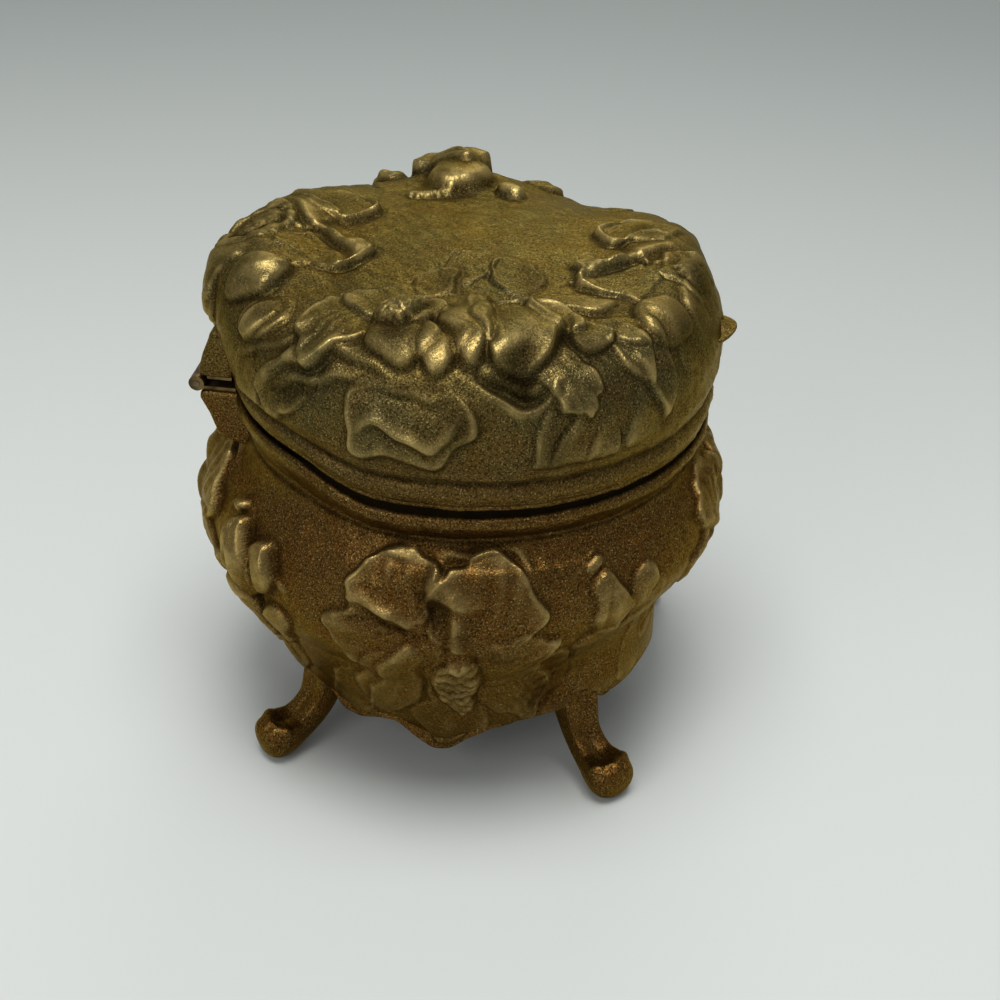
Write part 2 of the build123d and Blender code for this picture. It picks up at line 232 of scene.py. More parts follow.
# %% [markdown]
# Antique gold is a bronze paint over a grainy casting of white metal. Years of handling polish the high
# edges to a brighter yellow, while the hollows keep a brown glaze and dust, and the lower half is redder.
# Over this lies painted light: a painted highlight on the raised forms, and painted shade in the hollows,
# the pockets and the gap under the lid. A mask painted by hand could do this. Here each relief mesh
# carries two readings instead: how far a point stands above its surroundings, and how far it lies below
# them, so that the polish, the glaze and the painted light follow the carving.

# %% Finishes
GOLD = (0.106, 0.074, 0.019, 1)
OLIVE = (0.070, 0.058, 0.021, 1)
COPPER = (0.106, 0.044, 0.007, 1)
# umber is the grain and the glaze, and also painted shade in hollows, pockets and the gap under the lid
UMBER = (0.010, 0.006, 0.002, 1)
# bright gold is polish on the rubbed edges, and also painted highlight and painted glints
POLISH_AND_HIGHLIGHT_GOLD = (0.490, 0.370, 0.135, 1)


def antique_gold(name, relief=True):
    paint = Paint(name, Metallic=0.92, Specular_IOR_Level=0.3, Specular_Tint=(0.95, 0.78, 0.45, 1))
    cloud = paint.noise(60, 4.0).between(0.35, 0.65)
    blotch = paint.noise(210, 5.0).between(0.38, 0.66)
    grain = paint.noise(2300, 2.0)
    speck = paint.noise(3300, 1.0)
    colour = paint.mix(cloud, GOLD, OLIVE)
    low_down = 1 - paint.height().between(0.056, 0.092)
    colour = paint.mix((low_down * 0.74 + blotch * 0.25).clamped(), colour, COPPER)
    colour = paint.mix(grain.between(0.46, 0.62) * 0.70, colour, UMBER)
    # bright specks: flakes of the bronze powder, painted bright as glints
    colour = paint.mix(speck.between(0.57, 0.72) * 0.42, colour, POLISH_AND_HIGHLIGHT_GOLD)
    rough = 0.29 + blotch * 0.10 + grain.between(0.4, 0.7) * 0.14
    if relief:
        hollow = paint.reading("hollow")
        proud = paint.reading("proud")
        # painted shade with the glaze: hollows and shaded pockets go umber, and the gap under the lid's rim,
        # where hollow passes the pocket cap, goes near black as painted shadow
        colour = paint.mix((hollow * (0.62 + blotch * 0.38)).clamped(), colour, UMBER)
        colour = paint.mix(hollow.between(0.80, 0.97), colour, UMBER)
        # painted highlight with the polish of handling: raised forms go bright gold
        colour = paint.mix((proud * (0.26 + blotch * 0.54)).clamped(), colour, POLISH_AND_HIGHLIGHT_GOLD)
        rough = (rough + hollow * 0.45 - proud * 0.05).clamped()
    skin = paint.bump(grain, 0.50, 0.00020)
    skin = paint.bump(speck, 0.35, 0.00008, Normal=skin)
    return paint.to(Base_Color=colour, Roughness=rough, Normal=skin)


def old_metal(name, colour, dark, rough):
    paint = Paint(name, Metallic=0.9)
    stain = paint.noise(420, 4.0).between(0.4, 0.66)
    scratch = paint.noise(2600, 2.0)
    tone = paint.mix(stain * 0.7, colour, dark)
    return paint.to(Base_Color=tone, Roughness=rough + stain * 0.2, Normal=paint.bump(scratch, 0.3, 0.00008))


def card_board(name):
    paint = Paint(name, Roughness=0.9)
    fibre = paint.noise(1500, 4.0)
    tone = paint.mix(fibre, (0.42, 0.34, 0.22, 1), (0.60, 0.52, 0.38, 1))
    return paint.to(Base_Color=tone, Normal=paint.bump(fibre, 0.4, 0.0001))


def satin(name, colour, shade):
    paint = Paint(name, Roughness=0.42, Sheen_Weight=0.5, Sheen_Roughness=0.35, Specular_IOR_Level=0.6)
    soil = paint.noise(70, 4.0).between(0.35, 0.7)
    weave = paint.noise(4200, 1.0)
    tone = paint.mix(soil * 0.6, colour, shade)
    return paint.to(Base_Color=tone, Roughness=0.36 + soil * 0.12, Normal=paint.bump(weave, 0.25, 0.00006))


gold_relief = antique_gold("gold_relief")
gold_plain = antique_gold("gold_plain", relief=False)
hinge_metal = old_metal("hinge_metal", (0.17, 0.11, 0.04, 1), (0.03, 0.02, 0.01, 1), 0.38)
pin_metal = old_metal("pin_metal", (0.16, 0.13, 0.09, 1), (0.04, 0.03, 0.02, 1), 0.40)
board = card_board("board")
silk = satin("silk", (0.66, 0.52, 0.33, 1), (0.46, 0.33, 0.19, 1))
cord_silk = satin("cord_silk", (0.60, 0.44, 0.25, 1), (0.38, 0.26, 0.14, 1))


def paint_node(name, material):
    piece = nodes[name]
    piece.data.materials.clear()
    piece.data.materials.append(material)


for name in ("hinge_leaf_body", "hinge_leaf_lid"):
    paint_node(name, hinge_metal)
paint_node("hinge_pin", pin_metal)
paint_node("bottom_plate", gold_plain)
for name in ("body_wall_card", "body_floor_card", "lid_wall_card", "lid_top_card"):
    paint_node(name, board)


# %% [markdown]
# The floor is a pale board that takes the soft shadow of the casket. Behind the casket it carries painted
# shade, darker as the light would fall off further from the window. The world is dim as a light, and
# brighter where the camera sees it or where the gold mirrors it, which is told by the kind of ray that meets
# it.

# %% Floor and world
FLOOR_SIZE = 6.0
PALE_BOARD = (0.61, 0.635, 0.605, 1)
PAINTED_SHADE_BOARD = (0.27, 0.30, 0.28, 1)
PAINTED_SHADE_FROM_TO = (-0.05, 0.55)
SEEN_STRENGTH = 0.48
LIGHT_STRENGTH = 0.30


def make_floor():
    half = FLOOR_SIZE / 2
    corners = [(-half, -half, 0), (half, -half, 0), (half, half, 0), (-half, half, 0)]
    floor = smooth_object("floor", corners, [(0, 1, 2, 3)])
    paint = Paint("floor_white", Roughness=0.75)
    # painted shade: far from the window, behind the casket, the board is darker
    split = paint.node("ShaderNodeSeparateXYZ", {}, Vector=paint.place())
    tone = paint.mix(split.between(*PAINTED_SHADE_FROM_TO), PALE_BOARD, PAINTED_SHADE_BOARD)
    floor.data.materials.append(paint.to(Base_Color=tone))


def make_world():
    world = bpy.data.worlds.new("room")
    world.use_nodes = True
    tree = world.node_tree
    background = tree.nodes["Background"]
    background.inputs["Color"].default_value = (0.95, 0.97, 1.0, 1)
    path = tree.nodes.new("ShaderNodeLightPath")

    def larger(first, second):
        made = tree.nodes.new("ShaderNodeMath")
        made.operation = "MAXIMUM"
        tree.links.new(first, made.inputs[0])
        tree.links.new(second, made.inputs[1])
        return made.outputs[0]

    mirrored = larger(path.outputs["Is Glossy Ray"], path.outputs["Is Transmission Ray"])
    seen = tree.nodes.new("ShaderNodeMath")
    seen.operation = "MULTIPLY_ADD"
    tree.links.new(larger(path.outputs["Is Camera Ray"], mirrored), seen.inputs[0])
    seen.inputs[1].default_value = SEEN_STRENGTH - LIGHT_STRENGTH
    seen.inputs[2].default_value = LIGHT_STRENGTH
    tree.links.new(seen.outputs[0], background.inputs["Strength"])
    bpy.context.scene.world = world


make_floor()
make_world()
bpy.context.scene.view_settings.view_transform = "Standard"


# %% [markdown]
# Cast relief is layered: each petal grows out of the ground at its root, rises towards its tip and ends
# in a raised rim with a step down. A Relief holds heights, in millimetres, over a flat map of the
# surface, and every stroke below lays one more form over what is already there. The map is bent a
# little first, as nothing modelled by hand is a true oval.

# %% Relief strokes
def smooth(value, low, high):
    share = np.clip((value - low) / (high - low), 0, 1)
    return share * share * (3 - 2 * share)


def spline_points(points, count=48):
    # a smooth curve through given points
    p = np.array(points, float)
    p = np.vstack([2 * p[0] - p[1], p, 2 * p[-1] - p[-2]])
    t = np.linspace(0, len(points) - 1 - 1e-6, count)
    i = t.astype(int)
    f = (t - i)[:, None]
    a, b, c, d = p[i], p[i + 1], p[i + 2], p[i + 3]
    return 0.5 * (2 * b + (c - a) * f + (2 * a - 5 * b + 4 * c - d) * f**2 + (3 * b - a - 3 * c + d) * f**3)


GOLDEN_ANGLE = 2.39996


class Relief:
    def __init__(self, across, along, hand=0.0, upward=1):
        # upward is 1 where along grows towards the top of the piece, and -1 where it grows downwards
        self.upward = upward
        broad, fine = np.sin(along / 2.7 + across / 5.1 + hand), np.sin(along / 1.3 - hand)
        self.across = across + 0.8 * broad + 0.4 * fine
        broad, fine = np.sin(across / 3.1 - along / 6.3 + 2 * hand), np.sin(across / 1.2 + hand)
        self.along = along + 0.8 * broad + 0.3 * fine
        self.high = np.zeros_like(across)
        self.painted_shade = np.zeros_like(across)

    def near(self, x, y, reach):
        return np.nonzero((np.abs(self.across - x) < reach) & (np.abs(self.along - y) < reach))

    def swell(self, x, y, wide, tall, rise):
        self.high += rise * np.exp(-((self.across - x) / wide) ** 2 - ((self.along - y) / tall) ** 2)

    def petal(self, x, y, turn, wide, tall, lift, root=0.4, cup=0.0, rim=0.0, fold=0.0, bend=0.0, taper=0.0,
              ruffle=0.0, waves=5, veins=0.0, soft=0.7, under=0.5, phase=0.0, thick=0.42):
        # wide across and tall along its axis; it climbs from its root, and its middle is cupped
        spot = self.near(x, y, 0.75 * max(wide, tall) + 2)
        dx, dy = self.across[spot] - x, self.along[spot] - y
        c, s = math.cos(math.radians(turn)), math.sin(math.radians(turn))
        p = (-dx * s + dy * c) / (tall / 2)
        q = dx * c + dy * s - bend * p**2 * wide / 2
        q = q / (wide / 2 * (1 + taper * np.clip(p, -1, 1)))
        angle = np.arctan2(q, p)
        wave = np.sin(waves * angle + phase) + 0.5 * np.sin((2 * waves + 1) * angle - phase)
        rho = np.hypot(p, q) / (1 + ruffle * wave)
        outside = (rho - 1) * min(wide, tall) / 2
        climb = root + (1 - root) * smooth(p, -1.0, 0.5)
        inside = smooth(-outside, -soft / 2, soft / 2)
        bowl = np.clip(1 - rho**2, 0, 1)
        lip = 0.55 + 0.45 * np.sin(2 * angle + phase + 0.4 * x)
        roll = np.exp(-((outside + 0.5) / 0.48) ** 2) * lip
        fan = np.arctan2(q, p + 1.25)
        shape = lift * (thick + (1 - thick) * np.sqrt(bowl)) - cup * bowl + rim * roll
        shape += veins * np.sin(24 * fan + 2 * np.sin(5 * fan + x)) * bowl
        shape += 2.2 * ruffle * lift * wave * rho**2
        shape = climb * shape + fold * np.exp(-((q / 0.25) ** 2)) * np.sqrt(bowl)
        ground = self.high[spot]
        laid = ground * (1 - inside * (1 - under) * climb) + shape * inside
        self.high[spot] = laid - 0.16 * climb * np.exp(-(((outside - 0.45) / 0.4) ** 2))

    def ridge(self, points, wide, rise, sink=0.0):
        # a rolled edge or vein along a curve, fading out at both ends
        line = spline_points(points)
        middle, reach = line.mean(0), np.ptp(line, axis=0).max() / 2 + 2 * wide + 1
        spot = self.near(middle[0], middle[1], reach)
        gap = np.hypot(self.across[spot][:, None] - line[:, 0], self.along[spot][:, None] - line[:, 1])
        step = gap.argmin(1)
        gap = gap.min(1)
        fade = np.sin(np.pi * np.clip(step / (len(line) - 1), 0.02, 0.98)) ** 0.5
        # gentle on its upper side and steep on its lower one, as the edge of a petal that is turned down
        ahead = np.gradient(line, axis=0)[step]
        dx, dy = self.across[spot] - line[step, 0], self.along[spot] - line[step, 1]
        side = ahead[:, 0] * dy - ahead[:, 1] * dx
        spread = np.where(side * self.upward > 0, 1.35, 0.55) * wide
        self.high[spot] += 0.8 * rise * fade * np.exp(-((gap / spread) ** 2))
        if sink:
            trench = np.exp(-(((gap - 1.2 * wide) / (0.5 * wide)) ** 2))
            self.high[spot] -= sink * fade * trench * (side * self.upward < 0)

    def bead(self, x, y, radius, rise=None, under=0.6):
        rise = radius if rise is None else rise
        spot = self.near(x, y, radius * 1.4)
        gap = np.hypot(self.across[spot] - x, self.along[spot] - y) / radius
        dome = rise * np.sqrt(np.clip(1 - gap**2, 0, 1))
        ground = self.high[spot]
        self.high[spot] = np.where(gap < 1, np.maximum(ground, ground * under + dome), ground)

    def seeds(self, x, y, reach, count, size, lift, tall=1.0):
        # a boss of seeds, set out in the spiral that seed heads grow in
        self.petal(x, y, 0, 2 * reach, 2 * reach * tall, lift, root=0.8, under=0.3)
        for i in range(count):
            far = reach * 0.9 * math.sqrt((i + 0.5) / count)
            turn = i * GOLDEN_ANGLE
            self.bead(x + far * math.cos(turn), y + tall * far * math.sin(turn), size, size * 0.8, under=1.0)

    def darken(self, x, y, wide, tall, amount):
        # painted shade: a pocket of the carving made darker, where it would lie in shadow
        gap = ((self.across - x) / wide) ** 2 + ((self.along - y) / tall) ** 2
        self.painted_shade = np.maximum(self.painted_shade, amount * np.exp(-gap))

    def hollow(self, x, y, wide, tall, depth):
        spot = self.near(x, y, 3 * max(wide, tall))
        gap = ((self.across[spot] - x) / wide) ** 2 + ((self.along[spot] - y) / tall) ** 2
        self.high[spot] -= depth * np.exp(-gap)


# %% [markdown]
# The body's side follows the same outline as the casting's solid: a hollow neck, a round belly, a
# straight haunch and the apron, whose hem rises over the legs. The rows go round the whole section, so
# the shell is closed: outside, over the collar, down the inside, along the ledge and back under the hem.

# %% Outline of the body
COLLAR_RADIUS = 44.4
GROOVE_RADIUS = 43.4
GROOVE_HEIGHT = 61.8
FLANGE_RADIUS = 45.4
FLANGE_TOP = 67.8
FLANGE_HEIGHT = 3.0
FLANGE_CLIMB = 4.3
BELLY_RADIUS = 49.4
BELLY_HEIGHT = 47.0
HAUNCH = (45.2, 33.0)
NECK_FOOT = (46.6, 57.0)
LEDGE_RADIUS = 38.6
LEDGE_HEIGHT = 16.5
APRON_RADIUS = 36.6
APRON_TIP = 9.0
WALL = 2.2
THINNEST_WALL = 0.9
LEDGE_WIDTH = 7.0
LEDGE_THICKNESS = 2.0
APRON_LIP = 0.6
COLLAR_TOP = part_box("body_shell")[1].z / MM
COLUMNS = 1080


def arc(start, middle, end, count):
    # points on the circle through three points
    (ax, ay), (bx, by), (cx, cy) = start, middle, end
    d = 2 * (ax * (by - cy) + bx * (cy - ay) + cx * (ay - by))
    ux = ((ax**2 + ay**2) * (by - cy) + (bx**2 + by**2) * (cy - ay) + (cx**2 + cy**2) * (ay - by)) / d
    uy = ((ax**2 + ay**2) * (cx - bx) + (bx**2 + by**2) * (ax - cx) + (cx**2 + cy**2) * (bx - ax)) / d
    radius = math.hypot(ax - ux, ay - uy)
    first, last = (math.atan2(y - uy, x - ux) for x, y in (start, end))
    span = (last - first + math.pi) % (2 * math.pi) - math.pi
    turns = first + span * np.linspace(0, 1, count)
    return np.stack([ux + radius * np.cos(turns), uy + radius * np.sin(turns)], 1)


def even(points, pitch):
    # the same line with its points a steady pitch apart
    points = np.array(points, float)
    steps = np.hypot(*np.diff(points, axis=0).T)
    far = np.r_[0, np.cumsum(steps)]
    want = np.linspace(0, far[-1], max(2, int(round(far[-1] / pitch)) + 1))
    return np.stack([np.interp(want, far, points[:, k]) for k in (0, 1)], 1)


def body_side():
    # outside of the body from the hem's tip up to the collar's top edge
    neck = (GROOVE_RADIUS, GROOVE_HEIGHT)
    hollow = ((neck[0] + NECK_FOOT[0]) / 2 - 0.5, (neck[1] + NECK_FOOT[1]) / 2 - 0.4)
    belly = arc(NECK_FOOT, (BELLY_RADIUS, BELLY_HEIGHT), HAUNCH, 60)
    throat = arc(neck, hollow, NECK_FOOT, 20)
    apron = [(APRON_RADIUS + APRON_LIP, APRON_TIP), (APRON_RADIUS, APRON_TIP + 3),
             (LEDGE_RADIUS, LEDGE_HEIGHT)]
    roll = [(FLANGE_RADIUS - 0.5, FLANGE_TOP - FLANGE_HEIGHT), (FLANGE_RADIUS, FLANGE_TOP - 2.0),
            (FLANGE_RADIUS, FLANGE_TOP - 0.8), (FLANGE_RADIUS - 0.4, FLANGE_TOP - 0.2),
            (COLLAR_RADIUS, FLANGE_TOP)]
    top = [(COLLAR_RADIUS, COLLAR_TOP - 1.5), (COLLAR_RADIUS - 0.35, COLLAR_TOP - 0.5),
           (COLLAR_RADIUS - 1.0, COLLAR_TOP)]
    collar = [(GROOVE_RADIUS, GROOVE_HEIGHT + 0.8)] + roll + top
    return even(np.vstack([apron, belly[::-1], throat[::-1][1:], collar]), 0.30)


def normals(line):
    # the outward direction at each point of a section
    ahead = np.gradient(line, axis=0)
    side = np.stack([ahead[:, 1], -ahead[:, 0]], 1)
    return side / np.linalg.norm(side, axis=1)[:, None]


outer = body_side()
inside_line = even([
    (COLLAR_RADIUS - WALL, COLLAR_TOP), (COLLAR_RADIUS - WALL, COLLAR_TOP - 1),
    (GROOVE_RADIUS - WALL, GROOVE_HEIGHT), (LEDGE_RADIUS - WALL - 0.4, LEDGE_HEIGHT + LEDGE_THICKNESS)], 3.0)
under_line = np.array([
    (LEDGE_RADIUS - LEDGE_WIDTH, LEDGE_HEIGHT + LEDGE_THICKNESS), (LEDGE_RADIUS - LEDGE_WIDTH, LEDGE_HEIGHT),
    (LEDGE_RADIUS - WALL, LEDGE_HEIGHT), (APRON_RADIUS - WALL, APRON_TIP + 3),
    (APRON_RADIUS + APRON_LIP - WALL, APRON_TIP)])
print("rows on the body's outside", len(outer))

# %% [markdown]
# One poppy covers each face of the body: two great ruffled petals under the neck, a twisted fold between
# them, a boss of seeds, and sepals that sweep down into the tip of the apron. Buds sit over each leg.
# The four sides share one carving, which is a little more or less full on each.

# %% Relief of the body
HEM_PLACES = [-39, -33, -28, -22, -16, -11, -6, -1, 3, 8, 14, 20, 27, 33, 39]
HEM_HEIGHTS = [16.5, 15.2, 12.0, 12.0, 13.8, 14.2, 11.6, 9.2, 9.4, 12.2, 14.4, 15.0, 16.3, 16.5, 16.5]
HEM_REACH = 39.27
MAP_RADIUS = 50.0
SIDE_FADE = (33, 39)


def hem_height(angle):
    # the hem arches over each leg, waves, and falls to a tip under each face
    from_face = (angle + math.pi / 4) % (math.pi / 2) - math.pi / 4
    places = np.linspace(-HEM_REACH, HEM_REACH, 400)
    heights = np.interp(places, HEM_PLACES, HEM_HEIGHTS)
    kernel = np.hanning(25) / np.hanning(25).sum()
    heights = np.convolve(np.pad(heights, 12, mode="edge"), kernel, mode="valid")
    return np.interp(from_face * MAP_RADIUS, places, heights)


FACE_POCKETS = [
    # painted shade in pockets of the carving: across, along, width, length, how dark
    (6, 31, 4.2, 7.5, 0.40), (2.6, 51, 1.8, 4, 0.8), (8, 46, 2, 4, 0.5), (-7, 47, 8, 1.1, 0.55),
    (-12, 36, 3, 3, 0.35), (14, 41, 5, 1.6, 0.45), (10, 61.2, 11, 0.8, 0.8),
]


def carve_face(r, share):
    # heights are along; across is positive to the right as seen from outside
    r.swell(3, 40, 20, 17, 0.9)
    r.petal(19, 26, -130, 13, 20, 1.5, root=0.2, cup=0.4, rim=0.3, ruffle=0.05, waves=4, veins=0.10)
    r.petal(-20, 22, 140, 10, 18, 1.2, root=0.2, cup=0.3, rim=0.3, ruffle=0.04)
    r.petal(-9.5, 42.5, 78, 15, 18, 1.7, root=0.2, cup=0.7, rim=0.4, ruffle=0.06, waves=4, veins=0.12)
    r.petal(17, 38.5, -62, 14, 17, 1.7, root=0.2, cup=0.6, rim=0.4, ruffle=0.06, waves=5, veins=0.12)
    r.petal(-6.5, 53, 20, 19, 13, 2.2, root=0.35, cup=1.2, rim=0.6, ruffle=0.045, waves=6, veins=0.16,
            under=0.3)
    r.petal(11, 50.5, -8, 21, 20, 2.4, root=0.35, cup=1.4, rim=0.6, ruffle=0.04, waves=5, veins=0.16,
            under=0.3, phase=0.8)
    r.ridge([(-15, 51.5), (-11, 49.6), (-7, 49), (-1, 47.6)], 1.4, 1.7, 0.5)
    r.ridge([(-11, 57), (-8, 58.8), (-4, 57.4), (0, 58.8)], 0.9, 0.8)
    r.ridge([(1, 57), (4, 60), (11, 60.0), (17.5, 60.2), (19.8, 57), (20.6, 51)], 0.9, 1.0, 0.2)
    r.ridge([(1, 58), (1.5, 55.5), (4.5, 53.6), (8.5, 51.6)], 1.7, 2.0, 0.6)
    r.hollow(2.6, 51, 1.8, 3.6, 1.9)
    r.ridge([(5.6, 53), (6.4, 48), (6.0, 43), (3.5, 39)], 1.6, 1.3, 0.6)
    r.petal(-7.5, 32, 158, 13, 26, 1.8, root=0.6, cup=0.3, fold=0.4, taper=0.3, under=0.5, veins=0.08)
    r.ridge([(0, 44.5), (-4, 43), (-8, 36.5), (-12, 28), (-15.5, 19)], 0.9, 1.0, 0.3)
    r.ridge([(1.5, 44), (1.5, 37), (0, 29), (-1, 20)], 0.8, 0.7, 0.3)
    r.seeds(6, 32, 4.6, 40, 0.9, 2.3, tall=1.9)
    r.ridge([(2.5, 40), (5, 38), (9.5, 38.4)], 0.8, 0.7)
    r.petal(4, 18.5, 176, 17, 17, 1.2, root=0.4, cup=0.4, rim=0.3, fold=0.3, under=0.7)
    r.petal(25, 33, -75, 8, 12, 0.9, root=0.2, cup=0.3)
    # painted shade in the pockets
    for spot in FACE_POCKETS:
        r.darken(*spot)
    r.high *= share
    if share > 1:
        # the flower under the hinge stands out furthest
        r.swell(8, 45, 13, 9, 2.0)


def carve_corner(r, share):
    # buds over a leg, on stalks that come round from the flowers
    r.petal(0, 26, 180, 12, 18, 0.7, root=0.4, cup=0.2, fold=0.5, taper=-0.2, under=0.6, veins=0.10)
    r.petal(-3.5, 35.5, 10, 11, 14, 2.3, root=0.7, cup=0.5, rim=0.3, under=0.5)
    r.petal(5.2, 35, -14, 8, 13, 1.6, root=0.6, cup=0.4, under=0.5)
    r.petal(-3.0, 47.0, 10, 9.5, 14, 3.3, root=0.6, fold=0.5, taper=-0.15, under=0.4)
    r.ridge([(-5.5, 42), (-6, 48), (-3.5, 53)], 0.9, 0.8, 0.3)
    r.petal(4.6, 48.5, -16, 7.0, 11, 2.5, root=0.5, fold=0.3, under=0.4)
    r.bead(-6.0, 55.5, 1.7, 1.5)
    r.ridge([(-13, 53), (-8, 55.6), (-3, 54.4), (0, 50)], 0.8, 0.9)
    r.ridge([(12, 45), (8, 49.5), (6.6, 54.5)], 0.8, 0.9)
    r.hollow(0.8, 42, 1.3, 4.0, 1.0)
    r.high *= share


angles = np.linspace(0, 2 * math.pi, COLUMNS, endpoint=False)
# 0 on the half of the rim away from the hinge, and 1 in the quarter at the hinge
hinge_share = smooth(np.sin(angles), 0.20, 0.62)[None, :]
# how full the carving is on the four faces and over the four legs, counted from +X towards the hinge
FACE_SHARES = (0.9, 1.15, 0.85, 0.6)
CORNER_SHARES = (0.8, 1.2, 0.5, 0.8)
# the body leans out a little at the hinge, and its lower half is drawn in under the lift petal
BELLY_OFFSET = 1.6
BELLY_MIDDLE = 38
BELLY_REACH = 14
TUCK_HEIGHTS = [16.5, 20, 24, 28, 36, 46]
FRONT_TUCK = [2.2, 3.3, 4.3, 4.3, 2.2, 0]


def round_the_body(carve, first, heights, shares):
    # the same carving on four sides, each seen in its own flat map
    total = np.zeros((2, len(heights), COLUMNS))
    for k, share in enumerate(shares):
        away = (angles - first - k * math.pi / 2 + math.pi) % (2 * math.pi) - math.pi
        across, along = np.meshgrid(away * MAP_RADIUS, heights)
        relief = Relief(across, along, hand=0.7 * k)
        carve(relief, share)
        total += np.array([relief.high, relief.painted_shade]) * (1 - smooth(np.abs(across), *SIDE_FADE))
    return total


body_high, face_painted_shade = round_the_body(carve_face, 0.0, outer[:, 1], FACE_SHARES)
corner_high, corner_painted_shade = round_the_body(carve_corner, math.pi / 4, outer[:, 1], CORNER_SHARES)
laid_over = np.maximum(body_high, corner_high)
body_high = np.where(corner_high > 0.15, laid_over, body_high + np.minimum(corner_high, 0))
body_high *= smooth(GROOVE_HEIGHT - outer[:, 1], 0.3, 2.0)[:, None]
body_high *= smooth(outer[:, 1], APRON_TIP, APRON_TIP + 3)[:, None]
belly_share = np.exp(-(((outer[:, 1] - BELLY_MIDDLE) / BELLY_REACH) ** 2))
body_high += BELLY_OFFSET * belly_share[:, None] * np.sin(angles)[None, :]
tuck = np.interp(outer[:, 1], TUCK_HEIGHTS, FRONT_TUCK)
body_high -= tuck[:, None] * smooth(-np.sin(angles), 0.25, 0.75)[None, :]
# painted shade lies in the groove, and the gap over the flange, under the lid's rim, is black with painted
# shadow
groove_painted_shade = 0.8 * np.exp(-(((outer[:, 1] - GROOVE_HEIGHT) / 0.5) ** 2))[:, None]
gap_painted_shadow = smooth(outer[:, 1], FLANGE_TOP - 0.5, FLANGE_TOP)[:, None]
body_painted_shade = np.maximum(np.maximum(face_painted_shade, corner_painted_shade), np.maximum(groove_painted_shade, gap_painted_shadow))
print("body relief from", round(body_high.min(), 2), "to", round(body_high.max(), 2), "mm")


# %% [markdown]
# A shell mesh is a grid of columns round the axis and rows along the section. What the relief adds goes
# out along the section's own direction, and the two readings, one for polish and painted highlight and one
# for glaze and painted shade, come from comparing each point with a blurred copy of the relief.

# %% Shell meshes
def blurred(field, pixels):
    # a soft blur: columns wrap round, rows are mirrored at their ends
    field = np.vstack([field, field[::-1]])
    rows = np.fft.fftfreq(field.shape[0])[:, None]
    columns = np.fft.fftfreq(field.shape[1])[None, :]
    keep = np.exp(-2 * (math.pi * pixels) ** 2 * (rows**2 + columns**2))
    return np.real(np.fft.ifft2(np.fft.fft2(field) * keep))[: field.shape[0] // 2]


# the step, in millimetres, at which a small form and a broad one count as fully proud or hollow
FINE_STEP = 0.40
BROAD_STEP = 1.8
DARKEST_POCKET = 0.78


def wear_and_painted_light(field, painted_shade):
    # proud where the form stands above its blurred self, hollow where it lies below or carries painted shade;
    # proud feeds the polish and the painted highlight, hollow the glaze and the painted shade
    fine = (field - blurred(field, 4)) / FINE_STEP
    broad = (field - blurred(field, 13)) / BROAD_STEP
    proud = 0.35 * np.clip(fine, 0, 1) + 0.65 * np.clip(broad, 0, 1)
    hollow = 0.45 * np.clip(-fine - 0.15, 0, 1) + 0.55 * np.clip(-broad - 0.2, 0, 1)
    return proud * (1 - painted_shade), np.clip(hollow + painted_shade, 0, DARKEST_POCKET)


def ring_mesh(name, radius, height, closed, readings, material, body):
    # radius and height are grids, rows by columns, in millimetres
    rows, columns = radius.shape
    x = radius * np.cos(angles) * MM
    y = radius * np.sin(angles) * MM
    points = np.stack([x, y, height * MM], -1).reshape(-1, 3)
    row = np.arange(rows if closed else rows - 1)
    column = np.arange(columns)
    r0, c0 = np.meshgrid(row, column, indexing="ij")
    r1, c1 = (r0 + 1) % rows, (c0 + 1) % columns
    corners = (r0, c0), (r0, c1), (r1, c1), (r1, c0)
    faces = np.stack([r * columns + c for r, c in corners], -1).reshape(-1, 4)
    mesh = bpy.data.meshes.new(name)
    mesh.vertices.add(len(points))
    mesh.vertices.foreach_set("co", points.ravel())
    mesh.loops.add(faces.size)
    mesh.loops.foreach_set("vertex_index", faces.ravel())
    mesh.polygons.add(len(faces))
    mesh.polygons.foreach_set("loop_start", np.arange(0, faces.size, 4))
    mesh.polygons.foreach_set("use_smooth", np.ones(len(faces), bool))
    mesh.update(calc_edges=True)
    for key, field in readings.items():
        layer = mesh.attributes.new(key, "FLOAT", "POINT")
        layer.data.foreach_set("value", field.ravel().astype(np.float32))
    mesh.materials.append(material)
    piece = into_scene(name, mesh)
    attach(piece, body)
    print(name, "points", len(points), "faces", len(faces))
    return piece


WAX_WAVES = 36
WAX_LENGTHS = (2.2, 9.0)
WAX_DEPTH = 0.10


def uneven(x, y, z, seed=4):
    # the small waviness of a surface modelled in wax: many weak waves through space
    rng = np.random.default_rng(seed)
    total = np.zeros(np.broadcast(x, y, z).shape)
    for _ in range(WAX_WAVES):
        way = rng.normal(size=3)
        way *= 2 * math.pi / rng.uniform(*WAX_LENGTHS) / np.linalg.norm(way)
        total += np.sin(way[0] * x + way[1] * y + way[2] * z + rng.uniform(0, 6.3))
    return total / math.sqrt(WAX_WAVES)


def hand_finish(field, line):
    # slip-soft edges and a little waviness
    x, y, z = line[:, :1] * np.cos(angles), line[:, :1] * np.sin(angles), line[:, 1:] + 0 * angles
    return blurred(field, 0.9) + WAX_DEPTH * uneven(x, y, z)


def padded_rows(field, extra):
    # the rows inside carry no polish, glaze or painted light
    return np.vstack([field, np.zeros((extra, field.shape[1]))])


PLATE_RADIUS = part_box("bottom_plate")[1].x / MM


